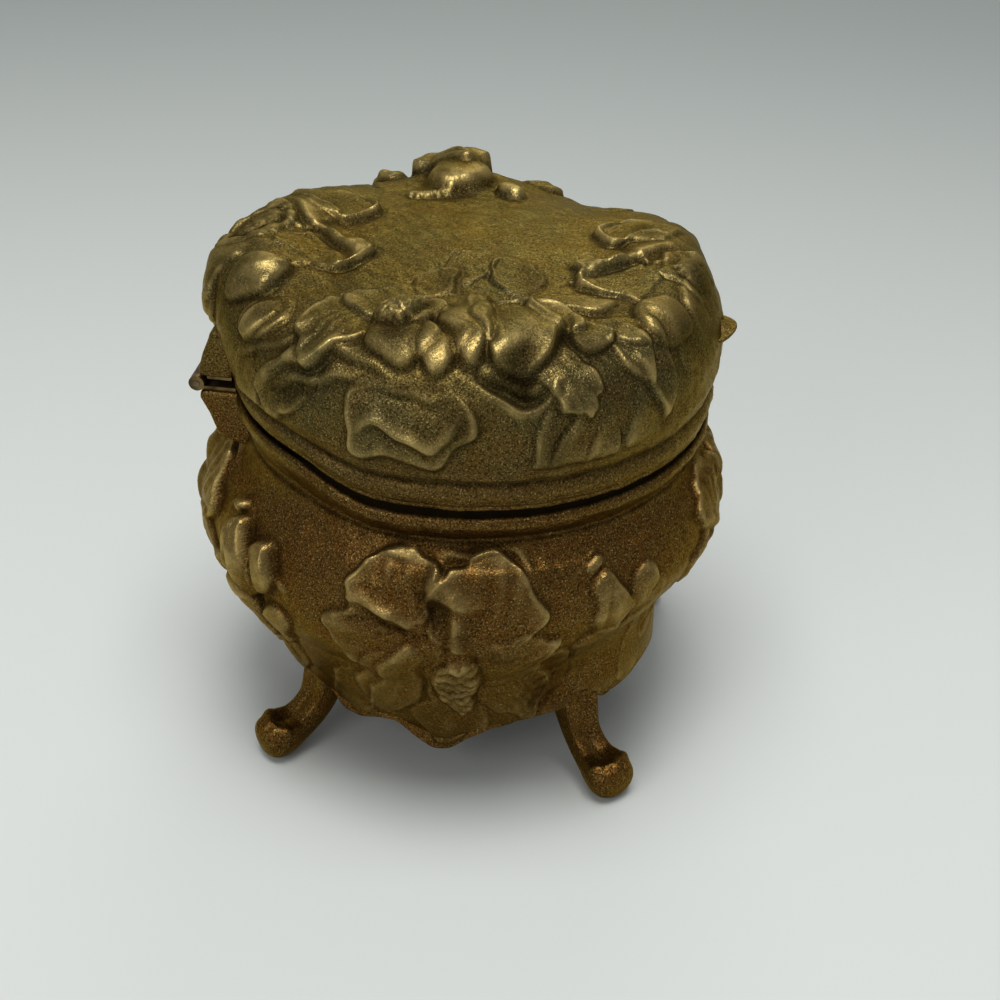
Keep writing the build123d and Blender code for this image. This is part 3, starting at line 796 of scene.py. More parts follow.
def make_body():
    side = normals(outer)
    high = hand_finish(body_high, outer)
    radius = outer[:, :1] + side[:, :1] * high
    height = outer[:, 1:] + side[:, 1:] * high
    # however deep a fold goes, a skin of metal stays outside the inner wall and the bottom sheet
    inner_wall = np.interp(height, inside_line[::-1, 1], inside_line[::-1, 0])
    thinnest = np.maximum(inner_wall + THINNEST_WALL, PLATE_RADIUS + 0.6)
    thinnest = np.where(height > LEDGE_HEIGHT - 2, thinnest, 0)
    radius = np.maximum(radius, thinnest)
    rest = np.vstack([inside_line, under_line])
    radius = np.vstack([radius, np.repeat(rest[:, :1], COLUMNS, 1)])
    height = np.vstack([height, np.repeat(rest[:, 1:], COLUMNS, 1)])
    # the flange rises with the lid's edge towards the hinge
    climb = FLANGE_CLIMB * hinge_share
    below = smooth(height, NECK_FOOT[1], FLANGE_TOP - 1)
    above = np.clip((COLLAR_TOP - height) / (COLLAR_TOP - FLANGE_TOP), 0, 1)
    height = height + climb * np.minimum(below, above)
    hem = hem_height(angles)[None, :]
    share = (LEDGE_HEIGHT - height) / (LEDGE_HEIGHT - APRON_TIP)
    height = np.where(height < LEDGE_HEIGHT, LEDGE_HEIGHT - share * (LEDGE_HEIGHT - hem), height)
    proud, hollow = wear_and_painted_light(body_high, body_painted_shade)
    # the gap under the lid's rim takes the full painted shadow
    hollow = np.maximum(hollow, gap_painted_shadow)
    readings = {"proud": padded_rows(proud, len(rest)), "hollow": padded_rows(hollow, len(rest))}
    piece = ring_mesh("body_casting", radius, height, True, readings, gold_relief, "base")
    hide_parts("body_shell")


make_body()


# %% [markdown]
# The lid is a flat dome on a steep wall, with a turned bead above its rim. It is mapped as if its skin
# were flattened round the apex: along is the distance walked from the middle over the dome and down the
# wall, so a spray can run over the shoulder without being stretched.

# %% Outline of the lid
LID_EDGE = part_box("lid_shell")[0].z / MM
LID_EDGE_RADIUS = 45.0
LID_BEAD = 4.2
LID_BEAD_SWELL = 0.8
LID_WALL_RADIUS = 46.6
LID_SHOULDER = 94.6
LID_ROUND = 12.0
LID_APEX = 98.3
LID_GAPE = 1.0
GAPE_TURN = 0.6
GAPE_FADE = 9
LAP_DROP = 3.6
LAP_RADIUS = 44.72


def lid_side():
    # outside of the lid from the apex down to the lower edge
    rise = LID_APEX - LID_SHOULDER
    sphere = (LID_WALL_RADIUS**2 + rise**2) / (2 * rise)
    centre = LID_APEX - sphere
    reach = math.sqrt((sphere - LID_ROUND) ** 2 - (LID_WALL_RADIUS - LID_ROUND) ** 2)
    hub = (LID_WALL_RADIUS - LID_ROUND, centre + reach)
    lean = math.atan2(hub[0], reach)
    cap_turns = np.linspace(0.0, lean, 120)
    cap = np.stack([sphere * np.sin(cap_turns), centre + sphere * np.cos(cap_turns)], 1)
    bend = np.linspace(lean, math.pi / 2, 40)[1:]
    shoulder = np.stack([hub[0] + LID_ROUND * np.sin(bend), hub[1] + LID_ROUND * np.cos(bend)], 1)
    top = LID_EDGE + LID_BEAD
    bead = LID_EDGE_RADIUS + LID_BEAD_SWELL
    foot = [(LID_WALL_RADIUS, top + 4), (LID_EDGE_RADIUS + 0.5, top + 1.2), (bead - 0.3, top + 0.4),
            (bead, top - 0.5), (bead, LID_EDGE + 2.8), (bead - 0.3, LID_EDGE + 2.0),
            (LID_EDGE_RADIUS + 0.3, LID_EDGE + 1.4), (LID_EDGE_RADIUS, LID_EDGE + 1.0),
            (LID_EDGE_RADIUS, LID_EDGE + 0.3), (LID_EDGE_RADIUS - 0.3, LID_EDGE)]
    line = even(np.vstack([cap, shoulder, foot]), 0.28)
    line[0, 0] = 0.02
    return line


lid_line = lid_side()
walked = np.r_[0, np.cumsum(np.hypot(*np.diff(lid_line, axis=0).T))]
print("lid section", round(walked[-1], 1), "mm long")

# %% [markdown]
# Four sprays of poppies lie on the lid. The near one has a poppy folded double, a bud full of seeds and a
# petal that hangs down the wall. The ones at the hinge and over the lift petal show a seed head and long
# open petals. The far one has a tall bud between two small ones.

# %% Relief of the lid
NEAR_POCKETS = [
    # painted shade in pockets and under overhangs: across, along, width, length, how dark
    (-7, 35.5, 3.6, 3.4, 0.95), (-9, 28, 3.4, 3.0, 0.55), (15.6, 37.5, 2.8, 4.4, 0.95), (14, 43, 6, 1.5, 1.0),
    (-2, 44.2, 13, 1.3, 0.75), (-28, 42.5, 6, 2.2, 0.85), (25.5, 31, 4, 3.4, 0.7), (-1.5, 14, 2.4, 5, 0.5),
    (12.5, 11, 2.0, 6, 0.45), (26, 51, 3.4, 6, 0.55), (5.5, 50, 3, 4, 0.7), (-32, 33, 7, 1.3, 0.5),
]


def near_spray(r):
    r.swell(2, 38, 26, 9, 1.2)
    r.petal(9.5, 9, 172, 9, 17, 1.2, root=0.4, cup=0.6, rim=0.4, under=0.7)
    r.petal(0.5, 7.5, 188, 10, 14, 0.9, root=0.4, cup=0.5, rim=0.3, ruffle=0.05, waves=3, under=0.7)
    r.petal(-3.5, 15, 200, 7, 12, 0.9, root=0.5, cup=0.3, rim=0.3, under=0.7)
    r.petal(22, 16.5, -95, 5, 15, 1.1, root=0.2, rim=0.3, under=0.8)
    r.petal(30, 23, -84, 6, 15, 0.9, root=0.2, rim=0.2, under=0.8)
    r.petal(43, 18, -60, 6, 8, 1.0, root=0.3, cup=0.3, under=0.8)
    r.petal(39, 27, -62, 8, 15, 1.5, root=0.2, cup=0.8, rim=0.5, under=0.7)
    r.petal(-34, 27, 60, 6, 9, 1.2, root=0.3, cup=0.5, rim=0.3, under=0.8)
    r.ridge([(-38, 32), (-31, 33.5), (-24, 31.5)], 0.9, 0.8, 0.2)
    r.petal(-12, 23, 50, 10, 14, 1.6, root=0.3, cup=0.6, rim=0.3, under=0.6)
    r.petal(-18, 31, 32, 14, 18, 2.2, root=0.3, cup=0.9, rim=0.5, ruffle=0.04, veins=0.10, under=0.5)
    r.petal(-29, 41, 70, 11, 20, 1.5, root=0.2, cup=0.6, rim=0.4, ruffle=0.07, veins=0.08, under=0.7)
    r.ridge([(-34, 40), (-28, 36.5), (-22, 38.5), (-16, 38.5), (-9, 42.5)], 1.2, 1.5, 0.5)
    r.ridge([(-27, 40), (-20, 42), (-13, 44)], 0.9, 0.9, 0.3)
    r.hollow(-27, 43, 5, 1.8, 0.9)
    r.petal(-4, 49.5, 2, 25, 16, 1.8, root=0.15, cup=1.0, rim=0.6, ruffle=0.04, under=0.6)
    r.ridge([(-14, 51), (-9, 51.2), (-4, 53.2), (1, 53.6), (5.5, 50)], 1.1, 1.4, 0.4)
    r.ridge([(-13, 45.5), (-4, 45), (4, 46.5)], 0.9, 0.8, 0.3)
    r.petal(30, 46, -20, 19, 18, 1.5, root=0.2, cup=0.7, rim=0.4, ruffle=0.05, veins=0.08, under=0.6)
    r.ridge([(24, 40), (27, 46), (26, 53)], 1.0, 0.9, 0.3)
    r.ridge([(32, 41), (34, 47), (32, 54)], 0.9, 0.7, 0.2)
    r.petal(24, 38, -35, 10, 11, 1.9, root=0.3, cup=0.7, rim=0.4, ruffle=0.07, under=0.6)
    r.petal(24.5, 27, -20, 8, 10, 2.2, root=0.5, cup=0.4, rim=0.2, under=0.5)
    r.petal(-6, 34.5, 0, 12, 13, 3.2, root=0.8, under=0.3, soft=1.4)
    r.petal(-3.5, 28, -40, 8, 9, 3.2, root=0.7, cup=0.8, rim=0.5, under=0.4)
    r.seeds(-8, 29, 4.6, 30, 0.95, 3.6)
    r.petal(0.5, 37, -8, 8, 11, 2.8, root=0.7, under=0.4, soft=1.2)
    r.petal(4.6, 30, -8, 9.5, 23, 4.2, root=0.5, bend=0.2, under=0.2, soft=1.4, thick=0.35)
    r.petal(12.5, 30, -25, 14, 20, 4.4, root=0.5, cup=0.2, rim=0.3, under=0.25, soft=1.2, thick=0.5)
    r.ridge([(1.5, 17), (3.0, 22), (4.6, 27)], 0.9, 0.7)
    r.ridge([(8.5, 21.6), (12, 21), (15.5, 23.6), (17, 27)], 0.9, 0.9, 0.4)
    r.hollow(8.6, 34, 0.8, 7, 1.0)
    r.hollow(15.6, 38, 2.8, 4.6, 2.4)
    r.hollow(14, 42.5, 5, 1.4, 2.2)
    r.ridge([(22, 39), (19, 43), (13, 44.5), (8, 42.5)], 0.9, 1.4, 0.3)
    r.petal(18.5, 25, 168, 9, 10, 3.0, root=0.7, cup=1.0, rim=0.6, under=0.4)
    # painted shade in the pockets and under the overhangs
    for spot in NEAR_POCKETS:
        r.darken(*spot)


def seed_spray(r, share, wall_share):
    # the spray over the hinge, and, mirrored and flatter on the wall, the one over the lift petal
    r.swell(0, 36, 24, 9, 2.2 * share)
    r.petal(-33, 22, 60, 10, 14, 0.8, root=0.3, cup=0.3, rim=0.2, under=0.8)
    r.petal(-33, 35, 12, 8, 15, 1.7, root=0.4, cup=1.1, rim=0.5, under=0.7)
    r.petal(-12.5, 29, 196, 11, 16, 2.3, root=0.4, cup=1.5, rim=0.7, ruffle=0.03, under=0.6)
    r.petal(7, 27, 176, 13, 17, 2.1, root=0.35, cup=1.1, rim=0.6, ruffle=0.05, under=0.6)
    r.ridge([(-9, 37), (-3, 31), (3, 24), (9, 20)], 1.6, 1.8, 0.6)
    r.petal(17, 36, 150, 10, 11, 3.2 * share, root=0.6, cup=0.3, fold=0.4, under=0.4)
    r.petal(27, 33, -40, 8, 11, 1.6, root=0.3, cup=0.4, rim=0.2, under=0.6)
    r.petal(36, 42, -50, 10, 16, 1.4, root=0.2, cup=0.5, rim=0.3, ruffle=0.05, under=0.7)
    r.petal(-24, 45, 30, 12, 18, 1.4, root=0.2, cup=0.5, rim=0.3, ruffle=0.05, under=0.7)
    r.petal(4, 49, -4, 22, 15, 1.7 * share, root=0.2, cup=0.7, rim=0.4, ruffle=0.04, under=0.7)
    r.swell(-18, 35, 12, 9, 1.7 * share)
    r.swell(0, 45, 17, 7, 1.9 * share)
    if share > 1:
        r.swell(5, 43, 15, 7, 3.0)
    r.petal(-6, 34, 40, 13, 13, 2.0 * share, root=0.5, cup=0.7, rim=0.5, ruffle=0.04, under=0.7)
    r.petal(8, 45, -140, 13, 12, 2.0 * share, root=0.5, cup=0.6, rim=0.5, ruffle=0.05, under=0.7)
    r.petal(0, 40, 0, 14, 13, 2.6 * share, root=0.8, rim=0.5, cup=0.6, ruffle=0.05, waves=6, under=0.6)
    r.seeds(0, 40, 4.4, 34, 0.85, 2.6 * share)
    # painted shade in the seed head and beside the petals
    r.darken(0, 40, 4.6, 4.6, 0.75)
    r.darken(-12.5, 31, 4, 4, 0.5)
    r.darken(17, 39, 5, 3.5, 0.6)
    r.high *= wall_share + (1 - wall_share) * (1 - smooth(r.along, 38, 46))


def lift_spray(r):
    r.across = -r.across
    seed_spray(r, 0.8, 0.15)


def far_spray(r):
    r.swell(-17, 37, 12, 10, -2.6)
    r.swell(12, 43, 8, 7, 4.0)
    r.petal(11.5, 42, 90, 15, 14, 5.4, root=0.7, cup=0.5, rim=0.4, ruffle=0.08, waves=4, veins=0.2, under=0.6,
            thick=0.6)
    r.petal(32, 42, -60, 12, 14, 1.2, root=0.2, cup=0.6, rim=0.3, ruffle=0.05, under=0.7)
    r.petal(-6, 43, 25, 8, 10, 1.2, root=0.4, fold=0.5, under=0.5)
    r.petal(27, 40, -15, 8, 9, 3.4, root=0.7, under=0.4, soft=1.4, thick=0.7)
    r.petal(23, 38, -15, 6, 6, 2.8, root=0.7, under=0.4, soft=1.2, thick=0.7)
    r.petal(-2.5, 29.5, 185, 5, 7, 2.2, root=0.8, under=0.5, soft=1.6)
    r.petal(9, 32, 184, 13, 15, 4.2, root=0.9, under=0.3, soft=3.0, thick=0.5)
    for i in range(5):
        r.bead(15.8 - 1.8 * i, 24.4 - 0.35 * i * (4 - i) / 2, 1.2, 1.1, under=0.8)


BEAD_LINE_HEIGHT = LID_EDGE + LID_BEAD + 1.0
# where the carving fades out: between two sprays, above the bead and round the apex
SPRAY_FADE = (0.92, 1.30)
WALL_FADE = (56.5, 58.5)
APEX_FADE = (0.5, 4.0)


def lid_relief():
    carvings = {
        math.pi: near_spray, 0.0: far_spray,
        math.pi / 2: lambda r: seed_spray(r, 1.25, 1.0), -math.pi / 2: lift_spray,
    }
    total = np.zeros((2, len(walked), COLUMNS))
    for facing, carve in carvings.items():
        turn = angles - facing
        across = walked[:, None] * np.sin(turn)[None, :]
        along = walked[:, None] * np.cos(turn)[None, :]
        relief = Relief(across, along, hand=facing, upward=-1)
        carve(relief)
        away = np.abs((turn + math.pi) % (2 * math.pi) - math.pi)
        total += np.array([relief.high, relief.painted_shade]) * (1 - smooth(away, *SPRAY_FADE))[None, None, :]
    total *= (1 - smooth(walked, *WALL_FADE))[:, None] * smooth(walked, *APEX_FADE)[:, None]
    # a turned line runs round above the bead, with painted shade along it
    line = np.exp(-(((lid_line[:, 1] - BEAD_LINE_HEIGHT) / 0.5) ** 2))[:, None]
    total[0] -= 0.35 * line
    total[1] = np.maximum(total[1], 0.6 * line)
    return total


lid_high, lid_painted_shade = lid_relief()
print("lid relief from", round(lid_high.min(), 2), "to", round(lid_high.max(), 2), "mm")


def make_lid():
    side = -normals(lid_line)
    high = hand_finish(lid_high, lid_line)
    radius = lid_line[:, :1] + side[:, :1] * high
    height = lid_line[:, 1:] + side[:, 1:] * high
    inner = even([
        (LID_EDGE_RADIUS - WALL, LID_EDGE), (LID_EDGE_RADIUS - WALL, LID_EDGE + LID_BEAD),
        (LID_WALL_RADIUS - WALL, LID_EDGE + LID_BEAD + 4), (LID_WALL_RADIUS - WALL, 84.0),
        (LID_WALL_RADIUS - WALL - 2.5, 90.6), (LID_WALL_RADIUS - WALL - 6.3, 92.8),
        (20, 95.5), (0.02, 96.1)], 4.0)
    gape = LID_GAPE * (0.5 + 0.5 * np.sin(angles - GAPE_TURN))[None, :]
    # the rim laps down over the collar all round, but for the quarter at the hinge, where it would bind
    drop = LAP_DROP * (1 - hinge_share)
    height = height + gape * (1 - smooth(height, LID_EDGE, LID_EDGE + GAPE_FADE))
    height = height - drop * (1 - smooth(height, LID_EDGE + 2, LID_EDGE + 13))
    lap = np.repeat([[LAP_RADIUS]], COLUMNS, 1)
    radius = np.vstack([radius, lap, lap, np.repeat(inner[:, :1], COLUMNS, 1)])
    gaping = gape * (1 - smooth(inner[:, 1:], LID_EDGE, LID_EDGE + GAPE_FADE))
    inner_height = np.repeat(inner[:, 1:], COLUMNS, 1) + gaping
    height = np.vstack([height, height[-1:] + 0.02, inner_height[:1], inner_height])
    extra = len(inner) + 2
    proud, hollow = wear_and_painted_light(lid_high, lid_painted_shade)
    readings = {"proud": padded_rows(proud, extra), "hollow": padded_rows(hollow, extra)}
    piece = ring_mesh("lid_casting", radius, height, False, readings, gold_relief, "lid")
    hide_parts("lid_shell")


make_lid()

# %% [markdown]
# The hinge is soldered to two lugs that were cast behind the rims. They are wedges with eased edges:
# the upper one slopes back to the lid's wall, the lower one dies away into the neck.

# %% Hinge lugs
HINGE_LENGTH = 34.0
HINGE_HEIGHT = 73.4
LEAF_FACE = 1.52
LUG_STATIONS = 13
LUG_EASE = 1.0 * MM
LID_LUG_ROOT = 45.6
BODY_LUG_ROOT = 42.8


def swept_block(name, section, root, body, node):
    # a side view, in millimetres of y and z, drawn out along x; where y is None it follows the casting
    count = len(section)
    stations = np.linspace(-HINGE_LENGTH / 2, HINGE_LENGTH / 2, LUG_STATIONS)
    points = []
    for x in stations:
        rooted = math.sqrt(root**2 - x**2)
        points += [(x * MM, (rooted if y is None else y) * MM, z * MM) for y, z in section]
    last = (LUG_STATIONS - 1) * count
    faces = [tuple(range(count)), tuple(reversed(range(last, last + count)))]
    for first in range(0, last, count):
        for i in range(count):
            after = first + (i + 1) % count
            faces.append((first + i, first + i + count, after + count, after))
    block = smooth_object(name, points, faces)
    bpy.context.view_layer.objects.active = block
    bevel = block.modifiers.new("ease", "BEVEL")
    bevel.width, bevel.segments = LUG_EASE, 3
    grow = block.modifiers.new("grow", "SUBSURF")
    grow.subdivision_type, grow.levels, grow.render_levels = "SIMPLE", 3, 3
    for modifier in ("ease", "grow"):
        bpy.ops.object.modifier_apply(modifier=modifier)
    block.data.polygons.foreach_set("use_smooth", [True] * len(block.data.polygons))
    block.data.materials.append(gold_plain)
    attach(block, body)
    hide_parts(node)


upper = HINGE_HEIGHT + LEAF_FACE
lower = HINGE_HEIGHT - LEAF_FACE
lid_lug_side = [(None, upper), (49.2, upper), (49.2, upper + 1.8), (48.4, upper + 4.6), (47.0, upper + 8.0),
                (46.6, upper + 9.6), (None, upper + 12)]
body_lug_side = [(None, lower), (49.4, lower), (49.4, lower - 1.6), (47.8, lower - 4.8), (46.2, lower - 9.6),
                 (None, lower - 12)]
swept_block("lid_lug", lid_lug_side, LID_LUG_ROOT, "lid", "lid_shell")
swept_block("body_lug", body_lug_side, BODY_LUG_ROOT, "base", "body_shell")

# %% [markdown]
# The lid is lifted by a pointed petal that juts out at the front, cupped underneath for a fingertip.

# %% Lift petal
LIFT_HEIGHT = 86.0
LIFT_REACH = 3.4
LIFT_WIDTH = 11.0
LIFT_THICKNESS = 2.6


def make_lift_petal():
    rows, columns = 25, 33
    across = np.linspace(-1, 1, columns)
    out = np.linspace(0, 1, rows)
    u, v = np.meshgrid(across, out)
    half = LIFT_WIDTH / 2 * np.sqrt(np.clip(1 - v**1.6, 0, 1))
    x = u * half
    y = -(LID_WALL_RADIUS - 0.8 + LIFT_REACH * v - x**2 / (2 * LID_WALL_RADIUS))
    thick = LIFT_THICKNESS * (1 - 0.75 * v) * np.sqrt(np.clip(1 - u**2, 0, 1))
    top = LIFT_HEIGHT + 0.8 * v**2 + thick * 0.5 + 0.5 * np.cos(u * 5) * (1 - v)
    under = LIFT_HEIGHT + 0.9 * v**2 - thick * 0.8
    points = [np.stack([x, y, z], -1).reshape(-1, 3) for z in (top, under)]
    faces = []
    for k, flip in ((0, False), (rows * columns, True)):
        for i in range(rows - 1):
            for j in range(columns - 1):
                a = k + i * columns + j
                quad = (a, a + columns, a + columns + 1, a + 1)
                faces.append(quad[::-1] if flip else quad)
    piece = smooth_object("lift_petal", (np.vstack(points) * MM).tolist(), faces)
    piece.data.materials.append(gold_plain)
    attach(piece, "lid")
    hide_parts("lid_shell")


make_lift_petal()

# %% [markdown]
# Each leg is a cabriole: it leaves the ledge upright, is kicked out, and ends in a rolled toe. It is
# swept from one section to the next. The section is round behind and has two raised edges in front,
# with a hollow between them that runs down to the toe, and the toe is notched like a claw.

# %% Legs
LEG_SPINE = [
    # distance out, height, width and depth of each section, from the ledge to the toe
    (34.4, 18.8, 8.0, 7.0), (34.6, 16.6, 8.4, 8.0), (35.3, 13.6, 8.0, 7.8), (36.9, 9.8, 7.0, 7.0),
    (39.2, 7.2, 6.9, 6.7), (42.0, 5.4, 7.4, 6.8), (44.8, 4.6, 8.8, 7.8), (47.0, 4.45, 9.6, 8.9),
    (48.9, 4.4, 8.8, 8.3), (50.2, 4.3, 6.2, 6.0), (50.7, 4.25, 1.2, 1.2),
]
LEG_RINGS = 90
LEG_SIDES = 56
LEG_TURNS = {"leg_front_right": -45, "leg_back_right": 45, "leg_back_left": 135, "leg_front_left": -135}


def make_leg(name, turn):
    spine = np.array(LEG_SPINE)
    line = np.hstack([spline_points(spine[:, :2], LEG_RINGS), spline_points(spine[:, 2:], LEG_RINGS)])
    ahead = np.gradient(line[:, :2], axis=0)
    ahead /= np.linalg.norm(ahead, axis=1)[:, None]
    up = np.stack([-ahead[:, 1], ahead[:, 0]], 1)
    share = np.linspace(0, 1, LEG_RINGS)
    turns = np.linspace(0, 2 * math.pi, LEG_SIDES, endpoint=False)
    points = []
    for i in range(LEG_RINGS):
        _, _, wide, deep = line[i]
        side, front = np.cos(turns), np.sin(turns)
        # the front carries two edges and a hollow, which fade out on the toe
        fluted = smooth(share[i], 0.02, 0.12) * (1 - smooth(share[i], 0.66, 0.78))
        edge = np.exp(-(((np.abs(side) - 0.74) / 0.16) ** 2)) * (front > 0)
        dip = np.exp(-((side / 0.42) ** 2)) * (front > 0)
        swell = 1 + fluted * (0.20 * edge - 0.30 * dip)
        claws = smooth(share[i], 0.74, 0.82) * (1 - smooth(share[i], 0.95, 1.0))
        swell = swell - claws * 0.16 * np.exp(-(((np.abs(side) - 0.34) / 0.09) ** 2)) * (front > -0.2)
        across = wide / 2 * side * swell
        lift = deep / 2 * front * swell
        reach = line[i, 0] + up[i, 0] * lift
        height = np.maximum(line[i, 1] + up[i, 1] * lift, 0.0)
        points.append(np.stack([reach, across, height], 1))
    out, across, height = np.moveaxis(np.array(points), -1, 0)
    c, d = math.cos(turn), math.sin(turn)
    flat = (np.stack([out * c - across * d, out * d + across * c, height], -1) * MM).reshape(-1, 3)
    faces = [tuple(range(LEG_SIDES))[::-1], tuple((LEG_RINGS - 1) * LEG_SIDES + i for i in range(LEG_SIDES))]
    for i in range(LEG_RINGS - 1):
        for j in range(LEG_SIDES):
            a, b = i * LEG_SIDES + j, i * LEG_SIDES + (j + 1) % LEG_SIDES
            faces.append((a, b, b + LEG_SIDES, a + LEG_SIDES))
    leg = smooth_object(name + "_cast", flat.tolist(), faces)
    leg.data.materials.append(gold_plain)
    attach(leg, "base")
    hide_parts(name)


for leg_name, degrees in LEG_TURNS.items():
    make_leg(leg_name, math.radians(degrees))

# %% [markdown]
# Inside, old-gold silk is gathered over a soft band of wadding. Its gathers are uneven, deepest at the
# two edges where the thread draws them in, and the band is fullest half way up.

# %% Gathered silk bands
GATHERS = 96
GATHER_DEPTH = 0.22
SILK_THICKNESS = 1.5
BAND_SLOPES = {"body_wall_silk": 5.2, "lid_wall_silk": 0.0}


def silk_band(name, node, body, rows=22):
    low, high = (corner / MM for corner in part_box(node))
    up = np.linspace(0, 1, rows)[:, None]
    rng = np.random.default_rng(11)
    wander = blurred(rng.normal(size=(rows, COLUMNS)), 6) * 6
    pleat = np.sin(GATHERS * angles[None, :] + 1.6 * wander)
    pleat = pleat + 0.5 * np.sin(2 * GATHERS * angles[None, :] + 2.5 * wander + 1)
    drawn = 0.35 + 0.65 * np.abs(2 * up - 1) ** 1.5
    base = high.x - BAND_SLOPES[node] * (1 - up)
    puffed = SILK_THICKNESS * 0.55 + SILK_THICKNESS * 0.45 * np.sin(np.pi * up) ** 0.5
    face = base - puffed - GATHER_DEPTH * drawn * pleat
    height = (low.z + (high.z - low.z) * up) * np.ones((1, COLUMNS))
    back = base * np.ones((1, COLUMNS))
    radius = np.vstack([face, back[::-1]])
    height = np.vstack([height, height[::-1]])
    piece = ring_mesh(name, radius, height, True, {}, silk, body)
    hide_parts(node)


silk_band("body_silk_gathers", "body_wall_silk", "base", rows=60)
silk_band("lid_silk_gathers", "lid_wall_silk", "lid")

# %% [markdown]
# The cushions are discs of wadding in silk. Each starts a little small and flat, is filled by a cloth
# simulation that pushes its skin outwards, and is then drawn down by a ring of stitches and a tuft.

# %% Cushions
CUSHION_SIDES = 96
CLOTH_STEPS = 20
CLOTH_CAP = 2.2 * MM
CLOTH_PRESSURE = 4
CLOTH_MESH = 1.6 * MM
CUSHION_MARGIN = 1.0 * MM
TUFT_DEPTH = 1.9 * MM
RING_DEPTH = 0.5 * MM
PUCKERS = 22
PUCKER_DEPTH = 0.28 * MM
SEAM_STITCHES = 90
SEAM_DEPTH = 0.20 * MM
# distance out as a share of the radius, and height as a share of the depth
CUSHION_PROFILE = [
    (0.0, 0.04), (0.9, 0.04), (0.975, 0.16), (1.0, 0.33), (0.965, 0.52), (0.82, 0.68), (0.55, 0.84),
    (0.25, 0.93), (0.0, 0.95),
]


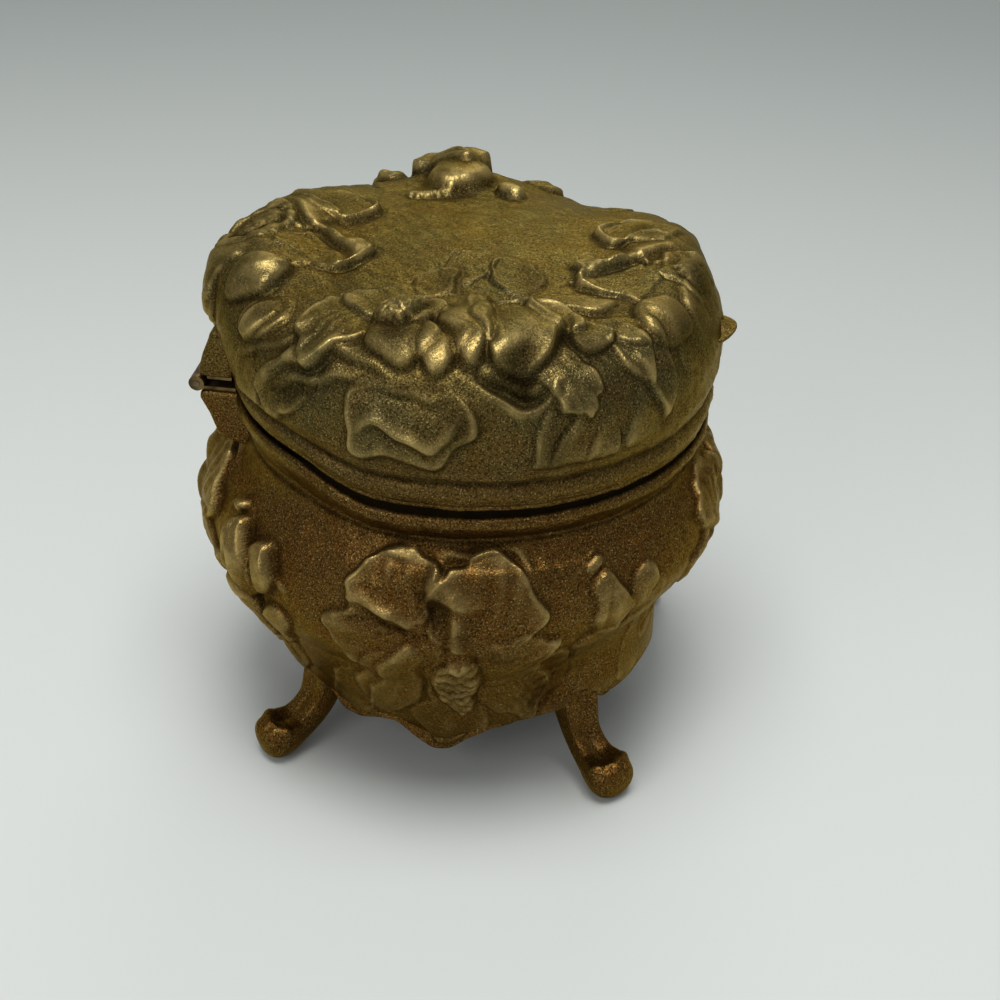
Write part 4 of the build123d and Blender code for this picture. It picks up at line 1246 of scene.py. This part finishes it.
def cushion(name, node, body, crown_up):
    low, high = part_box(node)
    radius = (high.x - low.x) / 2 - CUSHION_MARGIN
    depth = high.z - low.z
    sign = 1 if crown_up else -1
    seat = low.z if crown_up else high.z
    turns = np.linspace(0, 2 * math.pi, CUSHION_SIDES, endpoint=False)
    points, faces = [(0, 0, seat + sign * CUSHION_PROFILE[0][1] * depth)], []
    for share, climb in CUSHION_PROFILE[1:-1]:
        ring, level = radius * share, seat + sign * climb * depth
        points += [(ring * math.cos(t), ring * math.sin(t), level) for t in turns]
    points.append((0, 0, seat + sign * CUSHION_PROFILE[-1][1] * depth))
    rings = len(CUSHION_PROFILE) - 2
    for j in range(CUSHION_SIDES):
        k = (j + 1) % CUSHION_SIDES
        faces.append((0, 1 + k, 1 + j))
        for i in range(rings - 1):
            a = 1 + i * CUSHION_SIDES
            faces.append((a + j, a + k, a + k + CUSHION_SIDES, a + j + CUSHION_SIDES))
        last = 1 + (rings - 1) * CUSHION_SIDES
        faces.append((last + j, last + k, len(points) - 1))
    if sign < 0:
        faces = [face[::-1] for face in faces]
    piece = smooth_object(name, points, faces)
    bpy.context.view_layer.objects.active = piece
    remesh = piece.modifiers.new("even", "REMESH")
    remesh.mode, remesh.voxel_size = "VOXEL", CLOTH_MESH
    bpy.ops.object.modifier_apply(modifier="even")
    start = np.empty(len(piece.data.vertices) * 3)
    piece.data.vertices.foreach_get("co", start)
    cloth = piece.modifiers.new("fill", "CLOTH")
    cloth.settings.use_pressure = True
    cloth.settings.uniform_pressure_force = CLOTH_PRESSURE
    cloth.settings.effector_weights.gravity = 0
    cloth.settings.quality = 5
    for frame_number in range(1, CLOTH_STEPS + 1):
        bpy.context.scene.frame_set(frame_number)
    bpy.ops.object.modifier_apply(modifier="fill")
    bpy.context.scene.frame_set(1)
    end = np.empty_like(start)
    piece.data.vertices.foreach_get("co", end)
    start, end = start.reshape(-1, 3), end.reshape(-1, 3)
    move = end - start
    far = np.linalg.norm(move, axis=1, keepdims=True)
    end = start + move * np.minimum(1, CLOTH_CAP / np.maximum(far, 1e-9))
    # stitches: a drawn ring near the brow, a tuft in the middle, and soft puckers that run to it
    out = np.hypot(end[:, 0], end[:, 1])
    around = np.arctan2(end[:, 1], end[:, 0])
    facing = np.clip((end[:, 2] - seat) * sign / depth, 0, 1) ** 2
    dip = TUFT_DEPTH * np.exp(-((out / (3.2 * MM)) ** 2))
    dip = dip + RING_DEPTH * np.exp(-(((out - 0.88 * radius) / (0.9 * MM)) ** 2))
    ripple = np.sin(PUCKERS * around + 1.5 * np.sin(3 * around))
    pucker = PUCKER_DEPTH * ripple * np.exp(-(((out - 6 * MM) / (7 * MM)) ** 2))
    seam = SEAM_DEPTH * np.sin(SEAM_STITCHES * around) * np.exp(-(((out - 0.93 * radius) / (2.0 * MM)) ** 2))
    end[:, 2] -= sign * facing * (dip + pucker * (out > 1.5 * MM) + seam)
    end[:, 2] = np.clip(end[:, 2], low.z, high.z)
    piece.data.vertices.foreach_set("co", end.ravel())
    grow = piece.modifiers.new("grow", "SUBSURF")
    grow.levels = grow.render_levels = 1
    bpy.ops.object.modifier_apply(modifier="grow")
    piece.data.polygons.foreach_set("use_smooth", [True] * len(piece.data.polygons))
    piece.data.materials.append(silk)
    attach(piece, body)
    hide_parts(node)
    print(name, "points", len(piece.data.vertices), "largest move", round(float(far.max()) / MM, 2), "mm")


cushion("floor_pad", "body_floor_cushion", "base", True)
cushion("lid_pad", "lid_top_cushion", "lid", False)

# %% [markdown]
# A twisted silk edging covers the raw edge of each band. It is two plies laid round each other.

# %% Edge plies
PLY_TWISTS = 84
PLY_STEPS = 1400
PLY_SIDES = 10
# shares of the cord's own radius
PLY_ORBIT = 0.45
PLY_THICKNESS = 0.55


def twisted_edge(name, node, body):
    low, high = (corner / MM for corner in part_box(node))
    reach = (high.z - low.z) / 2
    orbit, thick = PLY_ORBIT * reach, PLY_THICKNESS * reach
    ring, middle = high.x - reach, (high.z + low.z) / 2
    turns = np.linspace(0, 2 * math.pi, PLY_STEPS, endpoint=False)
    sides = np.linspace(0, 2 * math.pi, PLY_SIDES, endpoint=False)
    points, faces = [], []
    for ply in range(2):
        lay = PLY_TWISTS * turns + ply * math.pi
        out = ring + orbit * np.cos(lay)[:, None] + thick * np.cos(sides)[None, :]
        height = middle + orbit * np.sin(lay)[:, None] + thick * np.sin(sides)[None, :]
        x, y = out * np.cos(turns)[:, None], out * np.sin(turns)[:, None]
        first = ply * PLY_STEPS * PLY_SIDES
        points.append(np.stack([x, y, height], -1).reshape(-1, 3))
        for i in range(PLY_STEPS):
            for j in range(PLY_SIDES):
                a, b = first + i * PLY_SIDES, first + (i + 1) % PLY_STEPS * PLY_SIDES
                k = (j + 1) % PLY_SIDES
                faces.append((a + j, b + j, b + k, a + k))
    piece = smooth_object(name, (np.vstack(points) * MM).tolist(), faces)
    piece.data.materials.append(cord_silk)
    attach(piece, body)
    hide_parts(node)


twisted_edge("body_edging", "body_edge_cord", "base")
twisted_edge("lid_edging", "lid_edge_cord", "lid")
